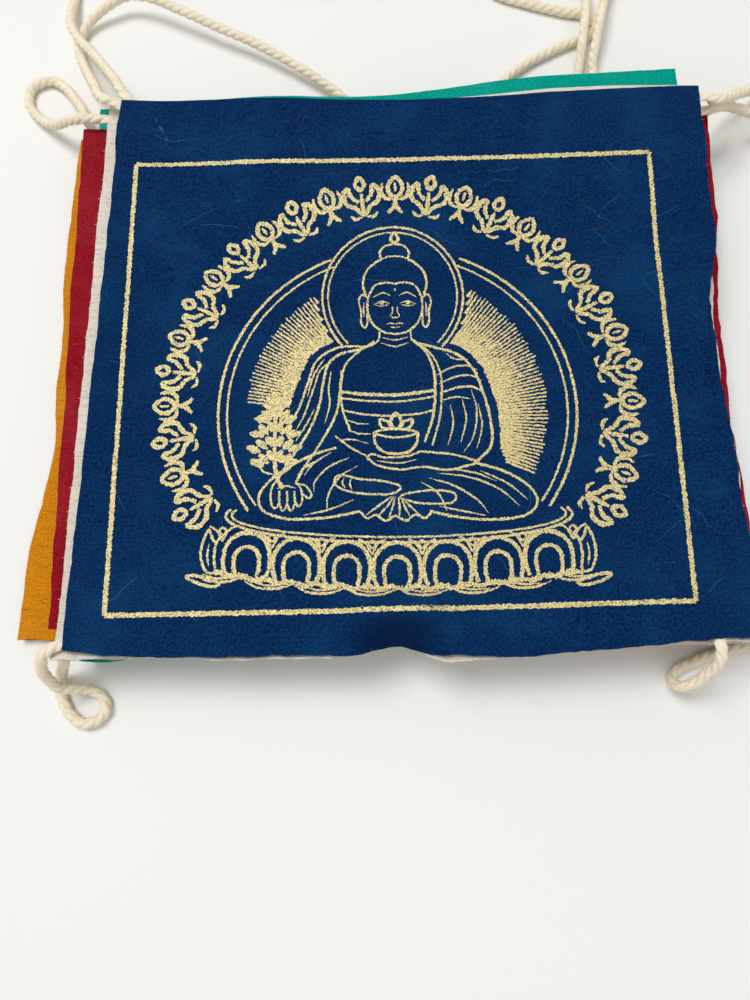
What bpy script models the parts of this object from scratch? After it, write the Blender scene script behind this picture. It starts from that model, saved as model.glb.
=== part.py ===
"""A string of five doubled paper prayer flags, stacked flat, with their cotton cords lying around them.

Each flag is one sheet of handmade paper folded double over its top edge. The flags were laid down
zigzag, so the cords that join them stand out as slack loops at the corners. The hanging cord leaves
the top flag, lies behind the stack and passes under its top edge, which it lifts a little.

Lengths are in millimetres, in a frame with the blue flag's middle at x = 0, y = 0 and the table at
z = 0. place() moves each point to the part's own frame, in metres, whose origin is on the table below
the middle of the flags' box.
"""

import math
from typing import NamedTuple

import bmesh
import bpy
import numpy as np
from mathutils import Matrix, Vector

MM = 0.001
BOX_CENTRE = (-4.86, 3.01)

LEAF_THICKNESS = 1.0
LEAF_GAP = 0.4
FLAG_GAP = 0.4
FLAG_PITCH = 2 * LEAF_THICKNESS + LEAF_GAP + FLAG_GAP
FOLD_RADIUS = (LEAF_THICKNESS + LEAF_GAP) / 2
FOLD_STEPS = 4

CORD_DIAMETER = 2.0
TABLE_CLEARANCE = 0.05
LOW = CORD_DIAMETER / 2 + TABLE_CLEARANCE
BAIL_STEP = 5.6
LINK_STEP = 3.6
ROUTE_SAMPLES = 24

# The strip of the stack that lies on the hanging cord, and how high the cord and its play hold it.
LIFT = CORD_DIAMETER + 0.65
LIFT_FROM_Y, LIFT_FULL_Y = 18.0, 40.0
LIFT_FROM_X, LIFT_FULL_X = -50.0, -20.0

# The lines inside every sheet, closer together where the sheet bends.
COLUMNS = (-50, -42, -34, -26, -18, -8.5, -2.5, 3.5, 12, 21, 30, 39, 46)
ROWS = (44, 40, 36, 32, 28, 24, 20, 10, 0, -8, -16, -26, -36, -42, -46.5)

# The wander of a torn edge: each wave's height, its length over two pi and its shift per phase.
EDGE_WAVES = ((0.3, 11.0, 2.3), (0.18, 4.1, 4.7))
FRONT_PHASE = 0.35
CURL_REACH = 8.0

KNOT_AT = (-71.5, 97.4)
KNOT_HALF = (2.3, 2.6, 2.0)


class Flag(NamedTuple):
    """One doubled sheet: the corners of its outline, each an x and a y."""

    name: str
    colour: tuple
    top_left: tuple
    top_right: tuple
    bottom_right: tuple
    bottom_left: tuple


class Swell(NamedTuple):
    """A stretch of a leaf's edge that stands out (or in, if negative) and may curl up."""

    flag: str
    leaf: str
    edge: str
    at: float
    reach: float
    out: float
    lift: float


# From the table up.
FLAGS = (
    Flag("flag_yellow", (0.68, 0.29, 0.03), (-66.1, 50.8), (49.0, 52.0), (48.5, -51.0), (-67.8, -49.8)),
    Flag("flag_green", (0.0, 0.36, 0.25), (-61.5, 55.6), (53.5, 60.0), (58.0, -48.5), (-55.8, -53.8)),
    Flag("flag_red", (0.31, 0.01, 0.02), (-63.1, 48.6), (57.0, 46.9), (56.8, -50.2), (-60.3, -48.6)),
    Flag("flag_white", (0.75, 0.70, 0.62), (-57.2, 52.4), (54.8, 51.1), (54.6, -51.5), (-57.5, -53.8)),
    Flag("flag_blue", (0.01, 0.035, 0.13), (-53.8, 50.6), (53.7, 48.4), (54.4, -51.0), (-55.2, -53.2)),
)

SWELLS = (
    Swell("flag_blue", "front", "right", -8.0, 29.0, -3.9, 0.9),
    Swell("flag_blue", "back", "right", -4.0, 24.0, -1.2, 0.0),
    Swell("flag_blue", "back", "right", 12.0, 14.0, -0.5, 0.0),
    Swell("flag_blue", "both", "right", 21.0, 9.0, 0.7, 0.0),
    Swell("flag_blue", "both", "bottom", -2.5, 8.0, -1.3, 0.0),
    Swell("flag_blue", "front", "bottom", -38.0, 22.0, 0.5, 0.0),
    Swell("flag_blue", "front", "bottom", -19.2, 26.7, 1.0, 0.0),
    Swell("flag_blue", "front", "bottom", 15.4, 36.0, 1.86, 0.0),
    Swell("flag_blue", "both", "left", 43.0, 7.0, 0.6, 0.0),
    Swell("flag_blue", "both", "top", -5.0, 60.0, -2.8, 0.0),
    Swell("flag_white", "both", "bottom", -2.5, 8.0, -2.9, 0.0),
    Swell("flag_white", "front", "bottom", -19.2, 26.7, 0.8, 0.0),
    Swell("flag_white", "front", "bottom", 9.0, 28.0, 1.75, 0.0),
    Swell("flag_white", "both", "top", -6.0, 46.0, -3.1, 0.0),
    Swell("flag_white", "both", "right", -2.0, 24.0, -1.1, 0.0),
    Swell("flag_red", "both", "right", 26.0, 12.0, 0.5, 0.0),
    Swell("flag_red", "both", "right", 4.0, 16.0, -1.1, 0.0),
    Swell("flag_red", "both", "right", -13.0, 12.0, -1.1, 0.0),
    Swell("flag_red", "both", "left", 15.0, 10.0, 0.4, 0.0),
    Swell("flag_green", "both", "top", -6.0, 36.0, -2.6, 0.0),
    Swell("flag_green", "front", "bottom", -52.0, 7.0, 0.5, 0.0),
    Swell("flag_green", "both", "bottom", -2.5, 10.0, -2.0, 0.0),
    Swell("flag_yellow", "both", "left", 6.0, 14.0, -1.3, 0.0),
    Swell("flag_yellow", "both", "left", -15.0, 22.0, -2.2, 0.0),
    Swell("flag_yellow", "both", "bottom", -2.5, 10.0, -2.0, 0.0),
)

# Routes of the cords, each point an x, a y and the height of the cord's middle: LOW on the table.
BAIL_ROUTE = (
    (-55.3, 50.4, 12.6), (-57.4, 51.3, 12.5), (-59.3, 53.4, 11.4), (-60.6, 56.4, 9.6),
    (-62.3, 59.6, 7.6), (-64.2, 63.3, 5.4), (-66.2, 67.2, 3.2), (-67.9, 70.9, 1.7),
    (-69.0, 74.4, 1.2), (-68.6, 77.9, 1.2), (-66.6, 80.9, 1.9), (-63.2, 83.2, 3.0),
    (-58.9, 84.9, 3.9), (-53.9, 83.9, 4.6), (-47.1, 80.7, 4.4), (-39.3, 76.7, 3.9),
    (-31.5, 72.9, 3.4), (-23.5, 68.1, 2.9), (-17.3, 63.9, 2.3), (-12.6, 60.3, 1.6),
    (-8.6, 55.8, LOW), (-4.0, 49.8, LOW), (2.5, 45.8, LOW), (9.0, 45.6, LOW),
    (14.4, 49.4, LOW), (17.4, 56.2, LOW), (20.2, 63.2, LOW), (25.1, 67.7, LOW),
    (30.7, 71.0, LOW), (35.4, 73.3, LOW), (39.2, 74.9, LOW), (40.6, 77.7, LOW),
    (38.6, 80.2, LOW), (34.4, 81.0, LOW), (30.1, 82.3, LOW), (25.9, 83.8, LOW),
    (21.0, 85.8, LOW), (17.2, 88.9, LOW), (17.4, 93.2, LOW), (21.4, 95.8, LOW),
    (27.4, 95.8, LOW), (33.2, 93.4, 1.3), (37.2, 89.4, 2.2), (38.5, 84.7, 3.4),
    (38.1, 80.0, 3.9), (37.5, 75.0, 3.9), (36.9, 70.6, 3.0), (36.3, 66.3, 1.6),
    (35.2, 61.0, LOW), (33.5, 55.4, LOW), (33.2, 50.0, LOW), (35.0, 46.0, LOW),
    (38.6, 44.6, LOW), (42.1, 46.2, LOW), (43.4, 50.3, LOW), (42.2, 55.8, LOW),
    (40.2, 61.0, LOW), (39.1, 66.3, 1.6), (39.7, 70.6, 3.0), (40.6, 75.2, 3.9),
    (41.8, 80.2, 3.7), (43.4, 84.9, 2.4), (46.4, 90.4, 1.2), (51.8, 94.8, LOW),
    (59.0, 96.4, LOW), (67.0, 95.2, LOW), (74.0, 91.2, LOW), (79.0, 85.0, LOW),
    (81.2, 77.5, LOW), (81.0, 70.0, 2.0), (77.4, 63.1, 4.3), (72.0, 57.6, 7.0),
    (66.2, 53.1, 9.6), (62.1, 49.9, 11.8), (58.3, 46.8, 14.4), (56.6, 46.5, 14.5),
    (55.5, 46.8, 15.1),
)
TAIL_ROUTE = (
    (-53.4, 52.0, 12.4), (-54.9, 54.1, 12.3), (-56.4, 57.0, 11.1), (-58.9, 61.0, 9.0),
    (-61.5, 65.3, 7.0), (-64.4, 69.6, 5.2), (-67.3, 73.3, 4.2), (-69.7, 77.2, 3.6),
    (-70.8, 81.2, 2.6), (-71.0, 85.4, 1.5), (-71.1, 90.0, LOW), (-71.4, 94.4, LOW),
)
TOP_LEFT_ROUTE = (
    (-58.2, 49.2, 9.6), (-62.2, 49.6, 9.5), (-66.4, 50.9, 7.5), (-70.6, 52.8, 4.2),
    (-75.0, 56.2, 1.8), (-78.2, 60.6, LOW), (-77.9, 64.8, LOW), (-74.3, 66.4, LOW),
    (-70.8, 64.2, 1.5), (-67.8, 60.0, 2.9), (-65.4, 56.2, 4.9), (-63.6, 52.6, 6.5),
    (-62.2, 49.6, 6.8),
)
TOP_RIGHT_ROUTE = (
    (56.3, 46.2, 12.3), (57.5, 46.8, 12.1), (60.1, 48.7, 10.4), (62.6, 49.8, 8.8),
    (67.3, 50.4, 6.4), (71.6, 50.0, 4.0), (75.4, 50.3, 2.4), (78.7, 52.0, 1.3),
    (80.0, 55.2, LOW), (79.1, 58.7, LOW), (76.6, 60.3, LOW), (73.3, 59.7, 1.6),
    (69.2, 57.9, 3.6), (64.3, 55.0, 6.0), (61.8, 52.8, 7.2), (59.3, 50.3, 8.6),
    (57.9, 48.9, 9.4),
)
BOTTOM_LEFT_ROUTE = (
    (-56.6, -51.9, 12.5), (-58.4, -53.3, 12.5), (-59.4, -55.4, 10.1), (-59.3, -56.8, 7.5),
    (-58.5, -58.1, 5.4), (-56.8, -58.3, 3.5), (-54.8, -58.4, 1.8), (-52.8, -59.4, LOW),
    (-51.8, -61.4, LOW), (-52.9, -63.3, LOW), (-55.4, -64.0, LOW), (-57.8, -62.5, LOW),
    (-59.2, -60.3, LOW), (-60.0, -58.3, LOW), (-59.6, -56.5, 1.9), (-58.5, -55.4, 4.5),
    (-57.3, -54.1, 6.8), (-56.3, -52.0, 6.9),
)
BOTTOM_RIGHT_ROUTE = (
    (48.0, -52.6, 12.5), (48.1, -54.4, 11.5), (47.9, -55.4, 9.6), (47.2, -56.4, 7.6),
    (46.2, -57.4, 6.0), (45.0, -58.1, 4.7), (43.9, -58.1, 3.1), (43.6, -57.1, 1.7),
    (44.3, -55.8, 1.1), (45.8, -54.9, LOW), (47.6, -54.2, LOW), (49.6, -53.3, LOW),
    (52.0, -52.5, LOW), (54.9, -51.8, LOW), (58.8, -51.4, 1.3), (62.4, -49.6, 2.6),
    (63.8, -46.4, 4.8), (62.2, -43.4, 7.4), (58.9, -42.2, 9.2),
    (55.4, -42.2, 9.6),
)


def place(x, y, z):
    """A point of the blue flag's frame in the part's own frame, in metres."""
    return Vector((x - BOX_CENTRE[0], y - BOX_CENTRE[1], z)) * MM


def clear_scene():
    for obj in list(bpy.data.objects):
        bpy.data.objects.remove(obj, do_unlink=True)


def parts_collection():
    collection = bpy.data.collections.new("prayer_flag_string")
    bpy.context.scene.collection.children.link(collection)
    return collection


def material(name, colour, roughness):
    made = bpy.data.materials.new(name)
    made.use_nodes = True
    shader = made.node_tree.nodes["Principled BSDF"]
    shader.inputs["Base Color"].default_value = (*colour, 1)
    shader.inputs["Roughness"].default_value = roughness
    shader.inputs["Metallic"].default_value = 0
    return made


def smooth_step(value, start, end):
    share = min(max((value - start) / (end - start), 0.0), 1.0)
    return share * share * (3 - 2 * share)


def lifted(x, y):
    """How high the hanging cord below holds the stack at this place."""
    along = smooth_step(x, LIFT_FROM_X, LIFT_FULL_X)
    return LIFT * along * smooth_step(y, LIFT_FROM_Y, LIFT_FULL_Y)


def uneven(along, phase):
    """The small wander of a torn edge."""
    return sum(high * math.sin(along / length + shift * phase) for high, length, shift in EDGE_WAVES)


def swell_at(flag, leaf, edge, along):
    """How far the edge stands out here, and how far it curls up."""
    out, lift = 0.0, 0.0
    for swell in SWELLS:
        if swell.flag != flag.name or swell.edge != edge or swell.leaf not in (leaf, "both"):
            continue
        off = abs(along - swell.at) / swell.reach
        if off < 1:
            share = 0.5 + 0.5 * math.cos(math.pi * off)
            out += share * swell.out
            lift += share * swell.lift
    return out, lift


def between(start, end, along, axis):
    """The line from start to end, read across it where its coordinate on this axis is along."""
    share = (along - start[axis]) / (end[axis] - start[axis])
    return start[1 - axis] + share * (end[1 - axis] - start[1 - axis])


class Leaf:
    """One leaf of a doubled sheet: its middle surface as a grid of points."""

    def __init__(self, flag, side, base, phase):
        self.flag = flag
        self.side = side
        self.phase = phase
        self.middle = base + LEAF_THICKNESS / 2
        if side == "front":
            self.middle += LEAF_THICKNESS + LEAF_GAP

    def left(self, y):
        out, _ = swell_at(self.flag, self.side, "left", y)
        return between(self.flag.top_left, self.flag.bottom_left, y, 1) - out + uneven(y, self.phase)

    def right(self, y):
        out, _ = swell_at(self.flag, self.side, "right", y)
        return between(self.flag.top_right, self.flag.bottom_right, y, 1) + out + uneven(y, self.phase + 1)

    def top(self, x):
        out, _ = swell_at(self.flag, self.side, "top", x)
        line = between(self.flag.top_left, self.flag.top_right, x, 0)
        return line + out - FOLD_RADIUS - LEAF_THICKNESS / 2

    def bottom(self, x):
        out, _ = swell_at(self.flag, self.side, "bottom", x)
        return between(self.flag.bottom_left, self.flag.bottom_right, x, 0) - out + uneven(x, self.phase + 2)

    def curl(self, x, y):
        """The upward curl near an edge that swells with a lift."""
        _, at_right = swell_at(self.flag, self.side, "right", y)
        _, at_bottom = swell_at(self.flag, self.side, "bottom", x)
        near_right = max(0.0, 1 - (self.right(y) - x) / CURL_REACH) ** 2
        near_bottom = max(0.0, 1 - (y - self.bottom(x)) / CURL_REACH) ** 2
        return at_right * near_right + at_bottom * near_bottom

    def point(self, column, row):
        """Grid point: column 0 is the left edge and row 0 the fold."""
        top_row, bottom_row = row == 0, row == len(ROWS) + 1
        if 0 < column <= len(COLUMNS):
            x = COLUMNS[column - 1]
        else:
            edge = self.left if column == 0 else self.right
            ends = (self.flag.top_left[1], self.flag.bottom_left[1])
            if column > 0:
                ends = (self.flag.top_right[1], self.flag.bottom_right[1])
            x = edge(ends[0] if top_row else ends[1] if bottom_row else ROWS[row - 1])
        if top_row:
            y = self.top(x)
        elif bottom_row:
            y = self.bottom(x)
        else:
            y = ROWS[row - 1]
        return x, y, self.middle + lifted(x, y) + self.curl(x, y)


def folded_point(front, back, column, row):
    """Point of the doubled sheet: up the back leaf, over the fold and down the front leaf."""
    last_row = len(ROWS) + 1
    if row <= last_row:
        return back.point(column, last_row - row)
    past_back = row - last_row
    if past_back >= FOLD_STEPS:
        return front.point(column, past_back - FOLD_STEPS)
    angle = math.pi * past_back / FOLD_STEPS
    low, high = back.point(column, 0), front.point(column, 0)
    share = past_back / FOLD_STEPS
    x = low[0] + share * (high[0] - low[0])
    y = low[1] + share * (high[1] - low[1]) + FOLD_RADIUS * math.sin(angle)
    z = (low[2] + high[2]) / 2 - (high[2] - low[2]) / 2 * math.cos(angle)
    return x, y, z


def build_flag(flag, level, collection):
    """The doubled sheet as an open surface with Solidify."""
    base = level * FLAG_PITCH
    back = Leaf(flag, "back", base, phase=level)
    front = Leaf(flag, "front", base, phase=level + FRONT_PHASE)
    across = len(COLUMNS) + 1
    down = 2 * (len(ROWS) + 1) + FOLD_STEPS
    bm = bmesh.new()
    bmesh.ops.create_grid(bm, x_segments=across, y_segments=down, size=1)
    for vert in bm.verts:
        column = round((vert.co.x + 1) / 2 * across)
        row = round((vert.co.y + 1) / 2 * down)
        vert.co = place(*folded_point(front, back, column, row))
    mesh = bpy.data.meshes.new(flag.name)
    bm.to_mesh(mesh)
    bm.free()
    mesh.materials.append(material(flag.name, flag.colour, roughness=0.85))
    obj = bpy.data.objects.new(flag.name, mesh)
    collection.objects.link(obj)
    sheet = obj.modifiers.new("sheet", "SOLIDIFY")
    sheet.thickness = LEAF_THICKNESS * MM
    sheet.offset = 0
    sheet.use_even_offset = True
    return obj


def smooth_route(route, step):
    """Evenly spaced points on the smooth curve through the route's own points."""
    points = np.array(route, float)
    points = np.vstack([2 * points[0] - points[1], points, 2 * points[-1] - points[-2]])
    curve = []
    for before, start, end, after in zip(points, points[1:], points[2:], points[3:]):
        for share in np.linspace(0, 1, ROUTE_SAMPLES, endpoint=False):
            square, cube = share * share, share**3
            curve.append(
                0.5
                * (
                    2 * start
                    + (end - before) * share
                    + (2 * before - 5 * start + 4 * end - after) * square
                    + (3 * start - before - 3 * end + after) * cube
                )
            )
    curve = np.array([*curve, points[-2]])
    travelled = np.concatenate([[0], np.cumsum(np.linalg.norm(np.diff(curve, axis=0), axis=1))])
    stops = np.linspace(0, travelled[-1], round(travelled[-1] / step) + 1)
    return np.stack([np.interp(stops, travelled, curve[:, axis]) for axis in range(3)], 1)


def build_cord(name, route, step, cotton, collection):
    """A free cord as a tube along its route."""
    points = smooth_route(route, step)
    curve = bpy.data.curves.new(name, "CURVE")
    curve.dimensions = "3D"
    curve.bevel_depth = CORD_DIAMETER / 2 * MM
    curve.bevel_resolution = 2
    curve.use_fill_caps = True
    spline = curve.splines.new("POLY")
    spline.points.add(len(points) - 1)
    for control, point in zip(spline.points, points):
        control.co = (*place(*point), 1)
    curve.materials.append(cotton)
    obj = bpy.data.objects.new(name, curve)
    collection.objects.link(obj)
    return obj


def build_knot(cotton, collection):
    """The knot that stops the tail's end, as a flattened ball on the table."""
    bm = bmesh.new()
    bmesh.ops.create_uvsphere(bm, u_segments=12, v_segments=8, radius=1)
    bmesh.ops.transform(bm, matrix=Matrix.Diagonal(Vector(KNOT_HALF) * MM).to_4x4(), verts=bm.verts)
    mesh = bpy.data.meshes.new("tail_knot")
    bm.to_mesh(mesh)
    bm.free()
    mesh.shade_smooth()
    mesh.materials.append(cotton)
    obj = bpy.data.objects.new("tail_knot", mesh)
    obj.location = place(*KNOT_AT, KNOT_HALF[2] + TABLE_CLEARANCE)
    collection.objects.link(obj)
    return obj


def main():
    clear_scene()
    collection = parts_collection()
    for level, flag in enumerate(FLAGS):
        build_flag(flag, level, collection)
    cotton = material("cotton_cord", (0.72, 0.62, 0.47), roughness=0.9)
    build_cord("cord_bail", BAIL_ROUTE, BAIL_STEP, cotton, collection)
    build_cord("cord_tail", TAIL_ROUTE, BAIL_STEP, cotton, collection)
    build_knot(cotton, collection)
    build_cord("link_top_left", TOP_LEFT_ROUTE, LINK_STEP, cotton, collection)
    build_cord("link_top_right", TOP_RIGHT_ROUTE, LINK_STEP, cotton, collection)
    build_cord("link_bottom_left", BOTTOM_LEFT_ROUTE, LINK_STEP, cotton, collection)
    build_cord("link_bottom_right", BOTTOM_RIGHT_ROUTE, LINK_STEP, cotton, collection)


main()
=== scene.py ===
"""Looks of a string of five doubled handmade paper flags, stacked flat with its twisted cotton cords.

The printed drawing on the blue flag is made here stroke by stroke from short tables: a seated figure
with a halo on a lotus throne, rays, and a ring of palmettes and buds.

Lengths in the tables are in millimetres, in a frame with the blue flag's middle at x = 0, y = 0 and
the table at z = 0. place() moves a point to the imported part's own frame, in metres.
"""

from __future__ import annotations

import logging
import math
import random
from dataclasses import dataclass, field
from enum import Enum
from typing import Callable, Iterable, Sequence

import bmesh
import bpy
import numpy as np
from mathutils import Matrix, Vector, noise
from mathutils.bvhtree import BVHTree

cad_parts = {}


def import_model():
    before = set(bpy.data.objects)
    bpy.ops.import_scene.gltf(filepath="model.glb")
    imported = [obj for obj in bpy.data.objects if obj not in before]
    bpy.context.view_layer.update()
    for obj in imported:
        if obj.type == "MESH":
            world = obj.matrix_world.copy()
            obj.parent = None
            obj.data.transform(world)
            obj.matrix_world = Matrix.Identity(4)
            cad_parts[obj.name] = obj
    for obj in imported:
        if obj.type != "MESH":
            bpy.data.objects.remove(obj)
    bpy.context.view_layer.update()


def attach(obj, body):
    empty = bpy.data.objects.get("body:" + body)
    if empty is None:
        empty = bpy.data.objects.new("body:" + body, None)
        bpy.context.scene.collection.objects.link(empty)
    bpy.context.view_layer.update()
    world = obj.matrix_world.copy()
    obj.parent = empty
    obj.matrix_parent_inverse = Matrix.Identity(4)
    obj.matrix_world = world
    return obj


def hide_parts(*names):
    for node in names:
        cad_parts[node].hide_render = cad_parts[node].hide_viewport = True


LOG = logging.getLogger("scene")

MM = 0.001
BOX_CENTRE = (-4.86, 3.01)
BODY = "root"

SHARP_ANGLE = 50
CURVE_SAMPLES = 16

Point = tuple[float, float]
Place = tuple[float, float, float]
Colour = tuple[float, float, float]
Surface = Callable[[float, float], float]


def place(x: float, y: float, z: float) -> Vector:
    """Turn a point of the tables into the part's own frame.

    Args:
        x: Millimetres to the right of the blue flag's middle.
        y: Millimetres towards its folded edge.
        z: Millimetres above the table.

    Returns:
        The point in metres.
    """
    return Vector((x - BOX_CENTRE[0], y - BOX_CENTRE[1], z)) * MM


def smooth_step(value: float, start: float, end: float) -> float:
    """Rise smoothly from 0 at start to 1 at end."""
    share = min(max((value - start) / (end - start), 0.0), 1.0)
    return share * share * (3 - 2 * share)


def wander(*at: float) -> float:
    """Smooth random value between about -1 and 1 at a place in up to three dimensions."""
    return noise.noise(Vector((*at, 0.37, 0.71)[:3]))


def mapped_grid(across: int, along: int, mapping: Callable[[int, int], Vector]) -> bmesh.types.BMesh:
    """Make a grid with a UV map and move each of its points by a mapping.

    Args:
        across: Number of cells across.
        along: Number of cells along.
        mapping: Gives the place of a point from its column and row.

    Returns:
        The grid as a new bmesh.
    """
    bm = bmesh.new()
    bm.loops.layers.uv.new("UVMap")
    bmesh.ops.create_grid(bm, x_segments=across, y_segments=along, size=1, calc_uvs=True)
    for vert in bm.verts:
        column = round((vert.co.x + 1) / 2 * across)
        row = round((vert.co.y + 1) / 2 * along)
        vert.co = mapping(column, row)
    return bm


def finished(name: str, bm: bmesh.types.BMesh, materials: Sequence[bpy.types.Material]) -> bpy.types.Object:
    """Turn a bmesh into a smooth object in the scene."""
    mesh = bpy.data.meshes.new(name)
    bm.to_mesh(mesh)
    bm.free()
    for material in materials:
        mesh.materials.append(material)
    mesh.shade_smooth()
    mesh.set_sharp_from_angle(angle=math.radians(SHARP_ANGLE))
    obj = bpy.data.objects.new(name, mesh)
    bpy.context.scene.collection.objects.link(obj)
    return obj


def smooth_route(points: Sequence[Sequence[float]], step: float, closed: bool = False) -> np.ndarray:
    """Even points on the smooth curve through a route's own points.

    Args:
        points: The route's points, in two or three dimensions.
        step: Distance between the returned points.
        closed: Whether the curve returns to its first point.

    Returns:
        The points, one a row.
    """
    route = np.array(points, float)
    if closed:
        route = np.vstack([route[-1], route, route[0], route[1]])
    else:
        route = np.vstack([2 * route[0] - route[1], route, 2 * route[-1] - route[-2]])
    curve = []
    for before, start, end, after in zip(route, route[1:], route[2:], route[3:]):
        for share in np.linspace(0, 1, CURVE_SAMPLES, endpoint=False):
            square, cube = share * share, share**3
            spread = (2 * before - 5 * start + 4 * end - after) * square
            turn = (3 * start - before - 3 * end + after) * cube
            curve.append(0.5 * (2 * start + (end - before) * share + spread + turn))
    curve = np.array([*curve, route[-2]])
    return even_points(curve, step)


def even_points(curve: np.ndarray, step: float) -> np.ndarray:
    """Points at even distances on a curve of many short straight pieces."""
    travelled = np.concatenate([[0], np.cumsum(np.linalg.norm(np.diff(curve, axis=0), axis=1))])
    stops = np.linspace(0, travelled[-1], max(2, round(travelled[-1] / step) + 1))
    return np.stack([np.interp(stops, travelled, curve[:, axis]) for axis in range(curve.shape[1])], 1)


# Materials


class Nodes:
    """Short calls for the shader nodes of one material."""

    def __init__(self, name: str, roughness: float, sockets: dict[str, float] | None = None) -> None:
        self.material = bpy.data.materials.new(name)
        self.material.use_nodes = True
        self.tree = self.material.node_tree
        self.shader = self.tree.nodes["Principled BSDF"]
        self.shader.inputs["Roughness"].default_value = roughness
        for socket, value in (sockets or {}).items():
            self.shader.inputs[socket].default_value = value
        self.coords = self.tree.nodes.new("ShaderNodeTexCoord")

    def wire(self, value, socket) -> None:
        """Link an output to a socket, or set the socket's own value."""
        if isinstance(value, bpy.types.NodeSocket):
            self.tree.links.new(value, socket)
        elif isinstance(value, tuple) and len(value) == 3 and socket.type == "RGBA":
            socket.default_value = (*value, 1)
        else:
            socket.default_value = value

    def turned(self, angle: float, scale: tuple[float, float, float], source: str = "Object"):
        """Coordinates turned about Z, in degrees, and scaled."""
        mapping = self.tree.nodes.new("ShaderNodeMapping")
        mapping.inputs["Rotation"].default_value = (0, 0, math.radians(angle))
        mapping.inputs["Scale"].default_value = scale
        self.wire(self.coords.outputs[source], mapping.inputs["Vector"])
        return mapping.outputs["Vector"]

    def noise(
        self, scale: float, detail: float = 4, roughness: float = 0.55, distortion: float = 0, vector=None
    ):
        """Fractal noise from 0 to 1; scale counts features in a metre."""
        node = self.tree.nodes.new("ShaderNodeTexNoise")
        self.wire(vector or self.coords.outputs["Object"], node.inputs["Vector"])
        node.inputs["Scale"].default_value = scale
        node.inputs["Detail"].default_value = detail
        node.inputs["Roughness"].default_value = roughness
        node.inputs["Distortion"].default_value = distortion
        return node.outputs["Fac"]

    def span(self, value, start: float, end: float, low: float = 0, high: float = 1):
        """Map start..end to low..high, held at both ends."""
        node = self.tree.nodes.new("ShaderNodeMapRange")
        node.interpolation_type = "SMOOTHSTEP"
        for name, number in zip(("From Min", "From Max", "To Min", "To Max"), (start, end, low, high)):
            node.inputs[name].default_value = number
        self.wire(value, node.inputs["Value"])
        return node.outputs["Result"]

    def maths(self, operation: str, first, second):
        """Combine two values."""
        node = self.tree.nodes.new("ShaderNodeMath")
        node.operation = operation
        self.wire(first, node.inputs[0])
        self.wire(second, node.inputs[1])
        return node.outputs["Value"]

    def mix(self, factor, first, second, blend: str = "MIX"):
        """Mix two colours."""
        node = self.tree.nodes.new("ShaderNodeMix")
        node.data_type = "RGBA"
        node.blend_type = blend
        self.wire(factor, node.inputs[0])
        self.wire(first, node.inputs[6])
        self.wire(second, node.inputs[7])
        return node.outputs[2]

    def away(self, at: Vector, scale: tuple[float, float, float]):
        """Distance from a place, in parts of a patch's size."""
        mapping = self.tree.nodes.new("ShaderNodeMapping")
        mapping.inputs["Location"].default_value = [-part * size for part, size in zip(at, scale)]
        mapping.inputs["Scale"].default_value = scale
        self.wire(self.coords.outputs["Object"], mapping.inputs["Vector"])
        node = self.tree.nodes.new("ShaderNodeVectorMath")
        node.operation = "LENGTH"
        self.wire(mapping.outputs["Vector"], node.inputs[0])
        return node.outputs["Value"]

    def finish(self, colour, height, depth: float, strength: float) -> bpy.types.Material:
        """Set the base colour and a bump whose full height is depth metres."""
        bump = self.tree.nodes.new("ShaderNodeBump")
        bump.inputs["Strength"].default_value = strength
        bump.inputs["Distance"].default_value = depth
        self.wire(height, bump.inputs["Height"])
        self.wire(bump.outputs["Normal"], self.shader.inputs["Normal"])
        self.wire(colour, self.shader.inputs["Base Color"])
        return self.material


@dataclass(frozen=True)
class PaperDye:
    """Colours of one handmade paper, in linear values, and where shade is painted into them."""

    name: str
    deep: Colour
    plain: Colour
    fleck: Colour
    fleck_share: float = 0.35
    roughness: float = 0.82
    # Middle of a patch of painted shade, in table millimetres: there the colour darkens towards the deep
    # dye.
    painted_shade: Place | None = None

    def material(self) -> bpy.types.Material:
        """Fibrous paper with mottled dye, flecks and a toothy surface, darkened by painted shade around a
        set place.
        """
        nodes = Nodes(self.name, self.roughness, {"Specular IOR Level": 0.04})
        grain = nodes.noise(2600, detail=5, roughness=0.62)
        clouds = nodes.noise(75, detail=4, roughness=0.6)
        along, athwart = (
            nodes.noise(330, detail=5, roughness=0.6, distortion=0.5, vector=nodes.turned(angle, (1, 7, 1)))
            for angle in (32, -50)
        )
        fibres = nodes.maths("MAXIMUM", nodes.span(along, 0.56, 0.68), nodes.span(athwart, 0.58, 0.70))
        dyed = nodes.mix(nodes.span(grain, 0.33, 0.66), self.deep, self.plain)
        worn = nodes.maths("MULTIPLY", nodes.span(clouds, 0.42, 0.72), self.fleck_share * 0.7)
        dyed = nodes.mix(worn, dyed, self.fleck)
        flecked = nodes.maths("MULTIPLY", fibres, nodes.span(grain, 0.4, 0.62, 0, self.fleck_share))
        dyed = nodes.mix(flecked, dyed, self.fleck)
        # Painted shade: the colour darkens towards the deep dye near the curled notch, which lies in shade.
        if self.painted_shade:
            away = nodes.away(place(*self.painted_shade), (130, 210, 0))
            dyed = nodes.mix(nodes.span(away, 0.35, 1.25, 0.7, 0), dyed, self.deep)
        tooth = nodes.maths("ADD", grain, nodes.maths("MULTIPLY", fibres, 0.45))
        wrinkles = nodes.noise(210, detail=5, roughness=0.6, distortion=1.2)
        height = nodes.maths("ADD", tooth, nodes.maths("MULTIPLY", wrinkles, 1.6))
        return nodes.finish(dyed, height, depth=0.0003, strength=0.7)


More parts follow.
